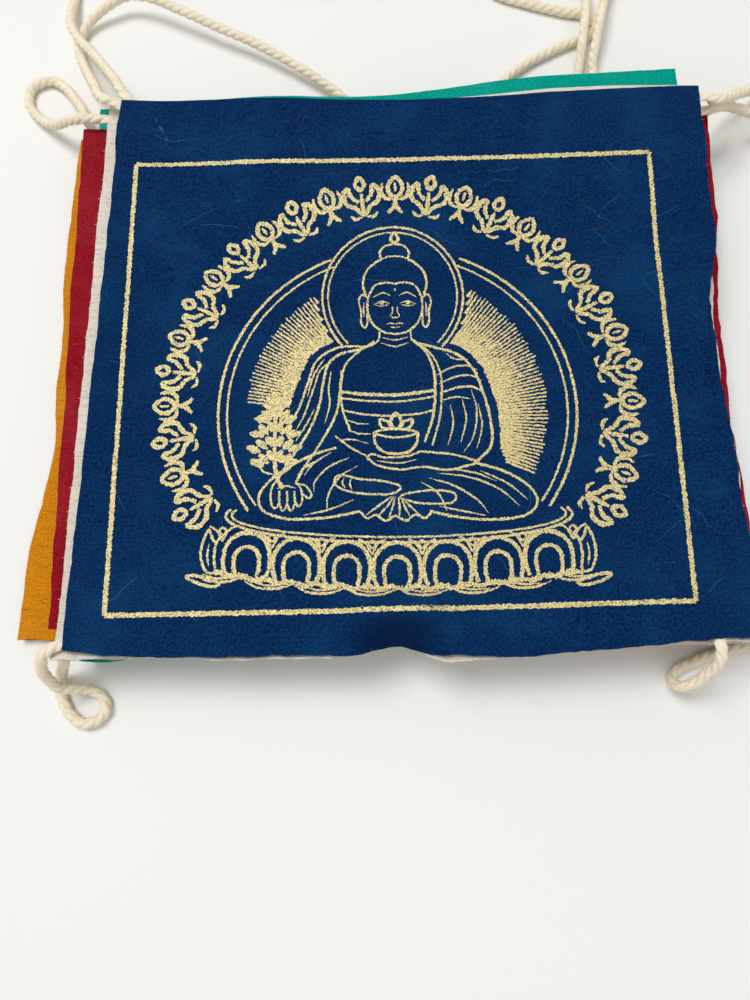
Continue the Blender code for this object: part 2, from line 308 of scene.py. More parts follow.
def gold_ink() -> bpy.types.Material:
    """Pale gold ink, broken up by the paper's tooth."""
    nodes = Nodes("gold_ink", 0.5, {"Metallic": 0.15})
    grain = nodes.noise(2600, detail=5, roughness=0.7)
    flakes = nodes.noise(5200, detail=2, roughness=0.5)
    gold = nodes.mix(nodes.span(flakes, 0.38, 0.64), (0.40, 0.31, 0.10), (0.92, 0.78, 0.37))
    broken = nodes.span(grain, 0.38, 0.46, 1, 0)
    colour = nodes.mix(nodes.maths("MULTIPLY", broken, 0.85), gold, (0.03, 0.06, 0.13))
    return nodes.finish(colour, grain, depth=0.00015, strength=0.6)


def strand_material(name: str, colour: Colour) -> bpy.types.Material:
    """Plain matt colour of loose fibres."""
    nodes = Nodes(name, 0.85)
    grain = nodes.noise(3000, detail=2)
    lighter = tuple(min(1.0, 1.35 * channel) for channel in colour)
    return nodes.finish(nodes.mix(grain, colour, lighter), grain, depth=0.00005, strength=0.2)


def cotton_material() -> bpy.types.Material:
    """Undyed cotton yarn: fine fibres run along it with a slight twist."""
    nodes = Nodes("cotton", 0.88, {"Specular IOR Level": 0.15, "Sheen Weight": 0.1})
    fine = nodes.noise(1.0, detail=4, roughness=0.6, vector=nodes.turned(18, (60, 14, 1), "UV"))
    blotch = nodes.noise(260, detail=3)
    colour = nodes.mix(nodes.span(fine, 0.32, 0.66), (0.84, 0.71, 0.51), (0.98, 0.91, 0.73))
    colour = nodes.mix(nodes.span(blotch, 0.45, 0.75, 0, 0.5), colour, (1.0, 0.94, 0.80))
    return nodes.finish(colour, fine, depth=0.0002, strength=0.55)


# Sheets of paper


class Side(Enum):
    """The two leaves of a doubled sheet."""

    BACK = 0
    FRONT = 1


class Edge(Enum):
    """The edges of a leaf."""

    LEFT = "left"
    RIGHT = "right"
    TOP = "top"
    BOTTOM = "bottom"


@dataclass(frozen=True)
class Swell:
    """A stretch of an edge that stands out (or in) and may curl up; no side means both leaves."""

    edge: Edge
    at: float
    reach: float
    out: float
    lift: float = 0.0
    side: Side | None = None


@dataclass(frozen=True)
class FlagShape:
    """One doubled sheet: its corners, its place in the stack and its edges."""

    node: str
    level: int
    top_left: Point
    top_right: Point
    bottom_right: Point
    bottom_left: Point
    cell: float = 1.7
    swells: tuple[Swell, ...] = ()
    foot_rise: tuple[float, float] = (0.0, 0.0)


@dataclass(frozen=True)
class Dent:
    """A crease or bulge of a sheet: a line with a height, and how wide it spreads."""

    start: Point
    end: Point
    height: float
    spread: float


PITCH = 2.8
LEAF_PITCH = 1.4
FIRST_LEAF = 0.5
PAPER = 0.42
FOLD_STEPS = 6
EDGE_REACH = 9.0

# How high the cord below the stack holds it, and where that rise starts and is full.
LIFT = 2.65
LIFT_Y = (18.0, 40.0)
LIFT_X = (-50.0, -20.0)

# How far in from its edge a curl and the foot's rise reach, and how soon a leaf is free of its fold.
CURL_RIGHT = 8.0
CURL_BOTTOM = 5.0
FOOT_REACH = 6.0
FREE_DROP = 0.06

# The waves of a torn edge: height, length and the shift of the noise; and their size on two edges.
TORN_WAVES = ((0.42, 9.0, 0), (0.30, 3.1, 5), (0.2, 1.2, 9))
TORN_SIZE = {"left": 0.55, "top": 0.22}

FLAGS = (
    FlagShape(
        "flag_yellow", 0, (-66.1, 50.8), (49.0, 52.0), (48.5, -51.0), (-67.8, -49.8),
        swells=(
            Swell(Edge.LEFT, 6.0, 14.0, -1.3),
            Swell(Edge.LEFT, -15.0, 22.0, -2.2),
            Swell(Edge.BOTTOM, -2.5, 10.0, -2.0),
        ),
    ),
    FlagShape(
        "flag_green", 1, (-61.5, 55.6), (53.5, 60.0), (58.0, -48.5), (-55.8, -53.8),
        swells=(
            Swell(Edge.TOP, -6.0, 36.0, -2.6),
            Swell(Edge.BOTTOM, -52.0, 7.0, 0.5, side=Side.FRONT),
            Swell(Edge.BOTTOM, -2.5, 10.0, -2.0),
        ),
    ),
    FlagShape(
        "flag_red", 2, (-63.1, 48.6), (57.0, 46.9), (56.8, -50.2), (-60.3, -48.6),
        swells=(
            Swell(Edge.RIGHT, 26.0, 12.0, 0.5),
            Swell(Edge.RIGHT, 4.0, 16.0, -1.1),
            Swell(Edge.RIGHT, -13.0, 12.0, -1.1),
            Swell(Edge.LEFT, 15.0, 10.0, 0.4),
        ),
    ),
    FlagShape(
        "flag_white", 3, (-57.2, 52.4), (54.8, 51.1), (54.6, -51.5), (-57.5, -53.8), cell=1.3,
        swells=(
            Swell(Edge.BOTTOM, -2.5, 8.0, -2.9, -2.2, Side.FRONT),
            Swell(Edge.BOTTOM, -2.5, 8.0, -2.9, 0.0, Side.BACK),
            Swell(Edge.BOTTOM, -19.2, 26.7, 0.8, 0.0, Side.FRONT),
            Swell(Edge.BOTTOM, 9.0, 28.0, 1.75, 0.0, Side.FRONT),
            Swell(Edge.BOTTOM, -38.0, 26.0, 0.3),
            Swell(Edge.TOP, -6.0, 46.0, -3.1),
            Swell(Edge.RIGHT, -2.0, 24.0, -1.1),
        ),
        foot_rise=(0.0, 2.15),
    ),
    FlagShape(
        "flag_blue", 4, (-53.8, 50.6), (53.7, 48.4), (54.4, -51.0), (-55.2, -53.2), cell=1.05,
        swells=(
            Swell(Edge.RIGHT, -8.0, 29.0, -3.9, 1.2, Side.FRONT),
            Swell(Edge.RIGHT, -4.0, 24.0, -1.2, 0.0, Side.BACK),
            Swell(Edge.RIGHT, 12.0, 14.0, -0.5, 0.0, Side.BACK),
            Swell(Edge.RIGHT, 21.0, 9.0, 0.7),
            Swell(Edge.LEFT, 43.0, 7.0, 0.6),
            Swell(Edge.BOTTOM, -2.5, 8.0, -1.3, -3.0, Side.FRONT),
            Swell(Edge.BOTTOM, -55.0, 7.0, -0.6, 0.0, Side.FRONT),
            Swell(Edge.BOTTOM, -19.2, 26.7, 1.0, 0.0, Side.FRONT),
            Swell(Edge.BOTTOM, 15.4, 36.0, 1.86, 0.0, Side.FRONT),
            Swell(Edge.BOTTOM, 0.0, 300.0, -2.4, 0.0, Side.BACK),
            Swell(Edge.BOTTOM, -38.0, 22.0, 0.5, 0.0, Side.FRONT),
            Swell(Edge.TOP, -5.0, 60.0, -2.8),
        ),
    ),
)

BLUE_DENTS = (
    Dent((-7.0, -46.6), (2.0, -46.6), 1.9, 2.7),
    Dent((-47.2, 44.7), (-39.7, 38.6), -0.16, 0.9),
    Dent((-39.7, 38.6), (-32.1, 35.7), -0.14, 0.9),
    Dent((-3.0, 49.2), (2.7, 43.6), -0.14, 1.0),
    Dent((31.0, 23.5), (36.7, 21.8), -0.12, 0.9),
    Dent((-52.0, -20.0), (-44.0, -31.0), 0.14, 2.2),
    Dent((20.0, -49.0), (34.0, -50.5), 0.16, 2.4),
    Dent((46.0, 30.0), (49.0, 10.0), 0.18, 2.2),
)

DYES = {
    "flag_yellow": PaperDye("paper_yellow", (0.56, 0.18, 0.005), (0.74, 0.29, 0.010), (0.82, 0.42, 0.06)),
    "flag_green": PaperDye("paper_green", (0.0, 0.24, 0.18), (0.0, 0.42, 0.325), (0.04, 0.52, 0.42)),
    "flag_red": PaperDye("paper_red", (0.20, 0.004, 0.010), (0.34, 0.010, 0.022), (0.48, 0.05, 0.06)),
    "flag_white": PaperDye("paper_white", (0.70, 0.62, 0.52), (0.82, 0.75, 0.66), (0.92, 0.87, 0.79)),
    "flag_blue": PaperDye(
        "paper_blue", (0.0010, 0.0100, 0.046), (0.0026, 0.035, 0.132), (0.008, 0.085, 0.225), 0.34,
        # Painted shade above the curled notch in the bottom edge.
        painted_shade=(-2.0, -51.0, 13.0),
    ),
}


RIM_LENGTHS = ((Edge.LEFT, 103), (Edge.RIGHT, 103), (Edge.BOTTOM, 112))


class PaperFlag:
    """A doubled sheet of handmade paper with torn edges."""

    def __init__(self, shape: FlagShape, dents: Sequence[Dent] = ()) -> None:
        self.shape = shape
        self.dents = dents
        width = math.dist(shape.top_left, shape.top_right)
        tall = math.dist(shape.top_left, shape.bottom_left)
        self.across = round(width / shape.cell)
        self.down = round(tall / shape.cell)

    def swell(self, edge: Edge, side: Side, along: float) -> tuple[float, float]:
        """How far an edge stands out at a place, and how far it curls up there."""
        out, lift = 0.0, 0.0
        for swell in self.shape.swells:
            off = abs(along - swell.at) / swell.reach
            if swell.edge is edge and swell.side in (side, None) and off < 1:
                share = 0.5 + 0.5 * math.cos(math.pi * off)
                out += share * swell.out
                lift += share * swell.lift
        return out, lift

    def torn(self, edge: Edge, side: Side, along: float) -> float:
        """How far the torn edge wanders from its line."""
        key = 7.3 * self.shape.level + 3.1 * side.value + 1.7 * len(edge.value)
        waves = (high * wander(along / long, key + shift) for high, long, shift in TORN_WAVES)
        return TORN_SIZE.get(edge.value, 1.0) * sum(waves)

    def flat_point(self, side: Side, share: float, drop: float) -> Point:
        """Place in x and y of a point, from its share of the width and of the way down the leaf."""
        shape = self.shape
        x, y = (
            (1 - drop) * ((1 - share) * shape.top_left[axis] + share * shape.top_right[axis])
            + drop * ((1 - share) * shape.bottom_left[axis] + share * shape.bottom_right[axis])
            for axis in (0, 1)
        )
        width = shape.top_right[0] - shape.top_left[0]
        tall = shape.top_left[1] - shape.bottom_left[1]
        for edge, away, along, sign in (
            (Edge.LEFT, share * width, y, -1),
            (Edge.RIGHT, (1 - share) * width, y, 1),
            (Edge.TOP, drop * tall, x, 1),
            (Edge.BOTTOM, (1 - drop) * tall, x, -1),
        ):
            near = max(0.0, 1 - away / EDGE_REACH) ** 2
            if near == 0:
                continue
            edge_side = Side.FRONT if edge is Edge.TOP else side
            out, _ = self.swell(edge, edge_side, along)
            move = sign * near * (out + self.torn(edge, edge_side, along))
            if edge in (Edge.LEFT, Edge.RIGHT):
                x += move
            else:
                y += move
        return x, y

    def height(self, side: Side, x: float, y: float, share: float, drop: float) -> float:
        """Height of the leaf's middle above the table."""
        shape = self.shape
        width = shape.top_right[0] - shape.top_left[0]
        tall = shape.top_left[1] - shape.bottom_left[1]
        z = FIRST_LEAF + shape.level * PITCH + side.value * LEAF_PITCH
        z += LIFT * smooth_step(x, *LIFT_X) * smooth_step(y, *LIFT_Y)
        _, at_right = self.swell(Edge.RIGHT, side, y)
        _, at_bottom = self.swell(Edge.BOTTOM, side, x)
        z += at_right * max(0.0, 1 - (1 - share) * width / CURL_RIGHT) ** 2
        z += at_bottom * max(0.0, 1 - (1 - drop) * tall / CURL_BOTTOM) ** 2
        near_foot = max(0.0, 1 - (1 - drop) * tall / FOOT_REACH) ** 2
        z += shape.foot_rise[side.value] * near_foot
        key = 11.7 * shape.level + 4.3 * side.value
        free = smooth_step(min(drop, FREE_DROP), 0.0, FREE_DROP) * (1 - 0.8 * near_foot)
        z += free * (0.2 * wander(x / 31, y / 31, key) + 0.1 * wander(x / 9, y / 9, key + 2))
        z += free * 0.035 * wander(x / 3.2, y / 3.2, key + 4)
        if side is Side.FRONT:
            z += sum(self.dent(dent, x, y) for dent in self.dents)
        return z

    @staticmethod
    def dent(dent: Dent, x: float, y: float) -> float:
        """Height that a crease adds at a place."""
        run = (dent.end[0] - dent.start[0], dent.end[1] - dent.start[1])
        away = (x - dent.start[0], y - dent.start[1])
        length = run[0] ** 2 + run[1] ** 2
        share = min(1.0, max(0.0, (away[0] * run[0] + away[1] * run[1]) / length))
        near = math.hypot(away[0] - share * run[0], away[1] - share * run[1]) / dent.spread
        return dent.height * math.exp(-near * near) if near < 3 else 0.0

    def leaf_point(self, side: Side, column: int, row: int) -> Place:
        """Point of a leaf, row 0 at the fold."""
        share, drop = column / self.across, row / self.down
        x, y = self.flat_point(side, share, drop)
        return x, y, self.height(side, x, y, share, drop)

    def point(self, column: int, row: int) -> Vector:
        """Point of the doubled sheet: up the back leaf, over the fold and down the front leaf."""
        if row <= self.down:
            return place(*self.leaf_point(Side.BACK, column, self.down - row))
        past = row - self.down
        if past >= FOLD_STEPS:
            return place(*self.leaf_point(Side.FRONT, column, past - FOLD_STEPS))
        low = self.leaf_point(Side.BACK, column, 0)
        high = self.leaf_point(Side.FRONT, column, 0)
        share, angle = past / FOLD_STEPS, math.pi * past / FOLD_STEPS
        x = low[0] + share * (high[0] - low[0])
        y = low[1] + share * (high[1] - low[1]) + 0.6 * math.sin(angle)
        z = (low[2] + high[2]) / 2 - (high[2] - low[2]) / 2 * math.cos(angle)
        return place(x, y, z)

    def build(self) -> bpy.types.Object:
        """Make the sheet with its thickness."""
        bm = mapped_grid(self.across, 2 * self.down + FOLD_STEPS, self.point)
        bmesh.ops.solidify(bm, geom=bm.faces[:], thickness=PAPER * MM)
        bmesh.ops.recalc_face_normals(bm, faces=bm.faces[:])
        piece = finished(f"{self.shape.node}_paper", bm, [DYES[self.shape.node].material()])
        self.declare(piece)
        return piece

    def declare(self, piece: bpy.types.Object) -> None:
        """Attach the sheet and hide the part it replaces; its size is worked out but not used."""
        shape = self.shape
        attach(piece, BODY)
        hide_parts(shape.node)
        width = math.dist(shape.top_left, shape.top_right) * MM
        tall = math.dist(shape.top_left, shape.bottom_left) * MM

    def rim(self, step: float) -> Iterable[tuple[Place, Point]]:
        """Points along the three open edges of both leaves, each with the way out."""
        for side in Side:
            for edge, long in RIM_LENGTHS:
                for index in range(int(long / step)):
                    share = index * step / long
                    if edge is Edge.BOTTOM:
                        at, out = (share, 1.0), (0.0, -1.0)
                    else:
                        at = (0.0 if edge is Edge.LEFT else 1.0, share)
                        out = (-1.0 if edge is Edge.LEFT else 1.0, 0.0)
                    x, y = self.flat_point(side, *at)
                    yield (x, y, self.height(side, x, y, *at)), out


# Drawing with ink


@dataclass(frozen=True)
class Stroke:
    """One inked line: its width and points, and whether it closes, is mirrored or tapers."""

    width: float
    points: tuple[Point, ...]
    closed: bool = False
    mirrored: bool = False
    taper: float = 0.0


# The figure, from its own middle line at x = 0.
FIGURE_X = -2.2

HEAD = (
    Stroke(0.36, ((4.7, 8.2), (4.75, 5.6), (4.0, 3.3), (2.2, 1.6), (0, 1.05)), mirrored=True),
    Stroke(0.36, ((0, 10.7), (1.6, 11.0), (3.5, 10.4), (4.7, 8.2)), mirrored=True),
    Stroke(0.4, ((5.1, 8.6), (5.6, 10.9), (4.9, 13.4), (3.3, 15.0), (2.3, 15.6)), mirrored=True),
    Stroke(0.4, ((2.3, 15.6), (2.6, 16.9), (1.7, 18.2), (0, 18.7)), mirrored=True),
    Stroke(0.3, ((2.1, 15.7), (1.2, 16.1), (0, 16.2)), mirrored=True),
    Stroke(0.5, ((0, 18.9), (0.7, 19.6), (0, 20.8), (-0.7, 19.6)), closed=True),
    Stroke(0.32, (
        (4.9, 8.1), (5.7, 8.7), (6.3, 7.4), (5.9, 5.4), (5.9, 3.4), (5.3, 2.3), (4.8, 3.2), (4.85, 5.0),
    ), mirrored=True),
    Stroke(0.26, ((5.4, 7.2), (5.45, 5.6), (5.35, 4.4)), mirrored=True, taper=1),
    Stroke(0.26, ((0.7, 8.4), (2.1, 9.0), (3.9, 8.1)), mirrored=True, taper=1),
    Stroke(0.26, ((0.9, 6.9), (2.2, 7.35), (3.7, 6.8)), mirrored=True, taper=1),
    Stroke(0.22, ((1.1, 6.7), (2.3, 6.45), (3.5, 6.65)), mirrored=True, taper=1),
    Stroke(0.42, ((2.0, 6.95), (2.6, 6.95)), mirrored=True),
    Stroke(0.22, ((0.45, 6.3), (0.4, 5.3), (0.75, 4.6), (0.3, 4.2), (0, 4.3)), mirrored=True),
    Stroke(0.3, ((0, 3.0), (0.7, 3.15), (1.5, 3.0)), mirrored=True, taper=1),
    Stroke(0.22, ((0, 2.3), (0.8, 2.45)), mirrored=True, taper=1),
    Stroke(0.5, ((-0.15, 9.6), (0.15, 9.6))),
    Stroke(0.3, ((2.7, 1.6), (2.8, 0.2), (3.4, -0.6)), mirrored=True),
    Stroke(0.26, ((-2.2, 0.5), (0, 0.0), (2.2, 0.5)), taper=1),
    Stroke(0.26, ((-2.4, -0.5), (0, -1.2), (2.4, -0.5)), taper=1),
)

ROBE = (
    Stroke(0.42, (
        (-3.4, -0.6), (-6.2, -1.7), (-9.6, -2.6), (-11.6, -4.6), (-12.4, -8.2), (-13.0, -12.0),
        (-14.4, -16.0), (-17.0, -20.4), (-19.6, -24.8),
    )),
    Stroke(0.4, (
        (-5.2, -1.2), (-9.6, -1.3), (-13.4, -3.6), (-15.0, -8.0), (-16.4, -12.4), (-18.2, -16.2),
        (-17.4, -18.6),
    )),
    Stroke(0.38, (
        (-9.2, -5.6), (-9.5, -9.6), (-10.2, -13.8), (-12.6, -18.6), (-15.4, -23.0), (-16.6, -25.4),
    )),
    Stroke(0.36, ((-3.6, -0.2), (-6.4, -2.2), (-8.6, -4.6), (-9.3, -8.4), (-9.0, -12.6), (-7.6, -16.6))),
    Stroke(0.32, ((-13.0, -5.6), (-14.2, -9.6), (-15.4, -13.4), (-16.8, -16.4)), taper=1),
    Stroke(0.32, ((-12.2, -3.4), (-14.0, -6.4), (-15.0, -10.4)), taper=1),
    Stroke(0.30, ((-13.8, -12.6), (-15.0, -15.2), (-16.8, -18.2)), taper=1),
    Stroke(0.30, ((-11.0, -5.6), (-11.4, -8.8), (-11.2, -11.8), (-12.0, -15.2)), taper=1),
    Stroke(0.28, ((-10.6, -3.6), (-12.8, -5.4), (-13.9, -8.4)), taper=1),
    Stroke(0.44, (
        (3.4, -0.6), (7.0, -1.5), (10.8, -2.9), (13.4, -5.8), (14.9, -10.2), (15.9, -15.0),
        (15.8, -19.2), (13.4, -22.0),
    )),
    Stroke(0.44, ((3.0, 0.0), (5.2, -2.2), (6.5, -5.6), (6.7, -9.8), (6.2, -14.2), (4.8, -18.6))),
    Stroke(0.32, ((4.0, -0.6), (6.2, -2.8), (7.6, -6.0), (7.8, -10.2), (7.3, -14.6), (6.0, -19.2))),
    Stroke(0.34, ((7.0, -6.6), (9.6, -5.2), (12.2, -4.9), (13.9, -5.7)), taper=0.8),
    Stroke(0.34, ((7.4, -8.2), (10.2, -6.9), (12.8, -6.7), (14.6, -7.6)), taper=0.8),
    Stroke(0.42, ((7.5, -9.9), (10.4, -8.9), (13.0, -8.8), (15.0, -9.8)), taper=0.6),
    Stroke(0.30, ((7.6, -11.2), (10.2, -10.6), (12.6, -10.9)), taper=1),
    Stroke(0.30, ((8.8, -2.6), (10.0, -3.6), (12.4, -3.8)), taper=1),
    Stroke(0.30, ((12.8, -9.2), (13.6, -13.0), (13.0, -17.4), (11.2, -20.4)), taper=1),
    Stroke(0.30, ((11.2, -11.0), (11.8, -14.6), (10.8, -18.6)), taper=1),
    Stroke(0.30, ((9.2, -12.0), (9.6, -15.4), (8.6, -19.2)), taper=1),
    Stroke(0.30, ((13.9, -11.8), (14.4, -15.8), (13.4, -19.8)), taper=1),
    Stroke(0.6, ((-9.2, -9.5), (-4.6, -10.0), (0.6, -10.1), (6.5, -9.4)), taper=0.2),
    Stroke(0.34, ((-9.3, -10.6), (-4.6, -11.2), (0.6, -11.3), (6.5, -10.5))),
    Stroke(0.34, ((-9.0, -12.8), (-5.2, -13.6), (-0.6, -13.9), (4.2, -13.5), (6.2, -12.9))),
    Stroke(0.28, ((-8.6, -14.4), (-6.4, -15.2), (-4.6, -15.3)), taper=1),
    Stroke(0.30, ((-8.0, -16.4), (-6.2, -17.0), (-4.2, -17.1)), taper=1),
    Stroke(0.28, ((-9.6, -18.2), (-7.4, -18.0), (-4.6, -18.8)), taper=1),
    Stroke(0.34, ((-10.2, -17.4), (-7.6, -19.4), (-5.2, -20.8), (-4.2, -21.6)), taper=0.6),
)

HANDS_AND_BOWL = (
    Stroke(0.36, ((13.4, -22.0), (9.6, -20.8), (6.2, -20.4), (4.0, -20.2))),
    Stroke(0.36, ((13.0, -22.4), (8.6, -23.4), (4.4, -22.9), (0.6, -23.3), (-3.0, -22.6), (-4.9, -21.2))),
    Stroke(0.32, ((4.0, -20.2), (1.8, -21.0), (-1.8, -21.2), (-4.0, -20.6), (-4.9, -21.2))),
    Stroke(0.26, ((3.4, -21.6), (0.4, -22.2), (-3.2, -21.8)), taper=1),
    Stroke(0.45, ((-3.7, -16.9), (-3.3, -19.0), (-1.6, -20.4), (1.6, -20.4), (3.3, -19.0), (3.7, -16.9))),
    Stroke(0.36, (
        (-3.7, -16.9), (-1.9, -17.5), (0, -17.7), (1.9, -17.5), (3.7, -16.9), (1.9, -16.4), (0, -16.2),
        (-1.9, -16.4),
    ), closed=True),
    Stroke(0.5, ((0, -16.3), (0.9, -15.0), (0, -13.4), (-0.9, -15.0)), closed=True),
    Stroke(0.5, ((0.9, -16.2), (2.4, -15.9), (2.7, -14.6), (1.3, -15.0)), closed=True, mirrored=True),
    Stroke(0.32, (
        (-19.6, -24.8), (-20.6, -26.4), (-20.6, -28.8), (-19.9, -29.8), (-19.3, -28.8), (-19.3, -26.8),
    )),
    Stroke(0.32, ((-19.3, -28.6), (-18.7, -30.3), (-18.0, -29.2), (-18.0, -26.9))),
    Stroke(0.32, ((-18.0, -29.0), (-17.3, -30.3), (-16.7, -29.1), (-16.8, -26.9))),
    Stroke(0.32, ((-16.7, -28.6), (-16.0, -29.6), (-15.5, -28.5), (-15.7, -26.6), (-16.6, -25.4))),
    Stroke(0.32, ((-16.6, -25.6), (-15.0, -26.0), (-14.0, -27.4), (-14.4, -28.2), (-15.4, -27.4))),
    Stroke(0.28, ((-19.7, -26.4), (-18.2, -26.0), (-16.6, -26.4)), taper=1),
)

LEGS = (
    Stroke(0.42, (
        (-10.0, -19.4), (-14.2, -20.8), (-19.2, -23.6), (-22.4, -27.0), (-22.0, -30.0), (-17.8, -31.6),
        (-11.4, -31.4), (-6.0, -30.4),
    )),
    Stroke(0.42, (
        (12.8, -22.2), (17.4, -23.6), (21.6, -26.2), (22.9, -29.0), (20.8, -31.2), (15.4, -31.9),
        (9.6, -31.4), (5.4, -30.4),
    )),
    Stroke(0.32, ((-7.8, -21.2), (-11.2, -22.8), (-13.4, -25.2), (-13.6, -27.0)), taper=1),
    Stroke(0.32, ((-6.4, -22.6), (-9.4, -24.6), (-11.2, -27.6), (-11.4, -30.2)), taper=1),
    Stroke(0.30, ((-13.2, -21.6), (-15.8, -23.4), (-16.4, -24.8)), taper=1),
    Stroke(0.32, ((6.8, -24.0), (11.6, -24.6), (16.6, -26.6), (20.0, -29.6)), taper=1),
    Stroke(0.32, ((5.4, -24.8), (9.6, -26.2), (13.2, -28.6), (14.9, -30.8)), taper=1),
    Stroke(0.30, ((4.0, -25.4), (6.8, -27.4), (8.2, -30.4)), taper=1),
    Stroke(0.30, ((13.8, -23.6), (18.2, -25.8), (21.4, -28.6)), taper=1),
    Stroke(0.34, (
        (-9.4, -24.2), (-6.0, -24.9), (-2.2, -25.3), (0.6, -26.2), (-0.6, -27.4), (-4.4, -27.5),
        (-8.2, -26.9), (-10.2, -25.6),
    ), closed=True),
    Stroke(0.26, ((-8.6, -24.6), (-8.9, -25.5), (-8.4, -26.5)), taper=1),
    Stroke(0.26, ((-7.4, -24.8), (-7.7, -25.7), (-7.3, -26.7)), taper=1),
    Stroke(0.34, (
        (9.4, -27.4), (6.0, -26.9), (2.4, -27.3), (0.6, -28.0), (2.8, -28.9), (6.4, -29.2),
        (9.2, -28.9),
    ), closed=True),
    Stroke(0.36, (
        (-6.0, -30.4), (-4.8, -31.6), (-3.4, -31.0), (-1.8, -32.0), (-0.2, -31.2), (1.5, -32.0),
        (3.0, -31.0), (4.6, -31.6), (5.8, -30.4),
    )),
    Stroke(0.32, ((-0.8, -27.9), (-2.6, -29.2), (-5.0, -31.0)), taper=0.8),
    Stroke(0.32, ((-0.5, -27.9), (-1.6, -29.6), (-3.2, -31.3)), taper=0.8),
    Stroke(0.32, ((-0.2, -28.0), (-0.7, -29.8), (-1.3, -31.5)), taper=0.8),
    Stroke(0.32, ((0.3, -28.1), (0.5, -29.8), (0.4, -31.4)), taper=0.8),
    Stroke(0.32, ((0.7, -28.2), (1.4, -29.8), (2.2, -31.4)), taper=0.8),
    Stroke(0.32, ((1.2, -28.5), (2.5, -29.9), (4.0, -31.2)), taper=0.8),
    Stroke(0.30, ((-10.8, -20.2), (-13.8, -22.2), (-15.2, -24.2)), taper=1),
    Stroke(0.30, ((8.6, -23.2), (13.0, -24.0), (16.4, -25.4)), taper=1),
    Stroke(0.30, ((-15.2, -31.0), (-10.8, -30.0), (-7.0, -28.4)), taper=1),
    Stroke(0.30, ((7.0, -29.6), (10.6, -30.4), (14.4, -31.2)), taper=1),
)

SPRIG = (
    Stroke(0.7, ((-18.7, -26.4), (-19.9, -24.2), (-20.3, -19.6), (-20.3, -12.4))),
    Stroke(0.34, ((-20.0, -24.0), (-21.8, -23.6), (-23.0, -22.4)), taper=1),
    Stroke(0.34, ((-19.9, -24.2), (-18.2, -23.4), (-17.2, -22.4)), taper=1),
)
# Tiers of leaves on the sprig: the height of each and how far it spreads. Each tier has a fan of
# leaves on both sides: how far out and up each is, its angle and its length.
SPRIG_TIERS = ((-11.9, 1.1), (-14.3, 2.4), (-16.9, 3.1), (-19.5, 3.5), (-22.0, 2.9))
SPRIG_FAN = ((1.0, 0.0, 18, 2.5), (0.62, 0.75, 42, 2.4), (0.26, 1.35, 68, 2.0))

PALMETTE = (
    Stroke(0.8, (
        (0.3, -2.7), (1.2, -1.3), (2.6, -0.5), (3.0, 1.2), (2.1, 2.3), (1.7, 0.8), (0.6, -0.4),
    ), mirrored=True, taper=0.3),
    Stroke(0.75, ((0, -2.9), (0, -0.6), (0, 1.0)), taper=0.5),
    Stroke(0.75, ((0, 1.6), (0.75, 2.6), (0, 3.7), (-0.75, 2.6)), closed=True),
    Stroke(0.6, ((0.4, -3.0), (1.6, -3.1), (2.3, -2.4)), mirrored=True, taper=0.8),
)
BUD = (
    Stroke(0.75, ((0, 3.3), (1.15, 1.9), (0.85, 0.5), (0, 0.0), (-0.85, 0.5), (-1.15, 1.9)), closed=True),
    Stroke(0.5, ((0, 2.4), (0, 0.9)), taper=0.6),
    Stroke(0.75, ((0.3, -0.4), (1.6, -0.2), (2.3, 0.9), (2.1, 2.4)), mirrored=True, taper=0.8),
    Stroke(0.75, ((0, -0.2), (0.2, -1.6), (1.2, -2.8)), mirrored=True, taper=0.5),
)
SPANDREL = (
    Stroke(0.34, ((2.2, 1.0), (1.0, 0.3), (0, -1.5)), mirrored=True),
    Stroke(0.34, ((0, 0.8), (0.55, 0.2), (0, -0.5), (-0.55, 0.2)), closed=True),
)
BASE_LEAVES = (
    Stroke(0.42, ((-4.3, 0.3), (-2.0, -0.85), (1.2, -0.95), (4.2, 0.0)), taper=0.85),
    Stroke(0.32, ((-3.0, 0.2), (-0.6, -0.45), (2.6, -0.3)), taper=0.85),
)


THRONE_ENDS = (
    Stroke(0.42, (
        (28.2, -34.2), (29.2, -35.2), (29.6, -37.6), (29.4, -40.2), (30.9, -40.0), (31.8, -37.4),
        (31.4, -34.8), (30.6, -33.2), (30.0, -34.8), (29.2, -35.6),
    ), mirrored=True),
    Stroke(0.5, (
        (28.6, -42.0), (31.4, -41.0), (34.0, -40.8), (32.4, -41.9), (29.6, -42.6),
    ), closed=True, mirrored=True),
    Stroke(0.34, ((30.4, -39.4), (30.7, -37.4), (30.5, -35.6)), mirrored=True, taper=1),
)

INK_STEP = 0.24


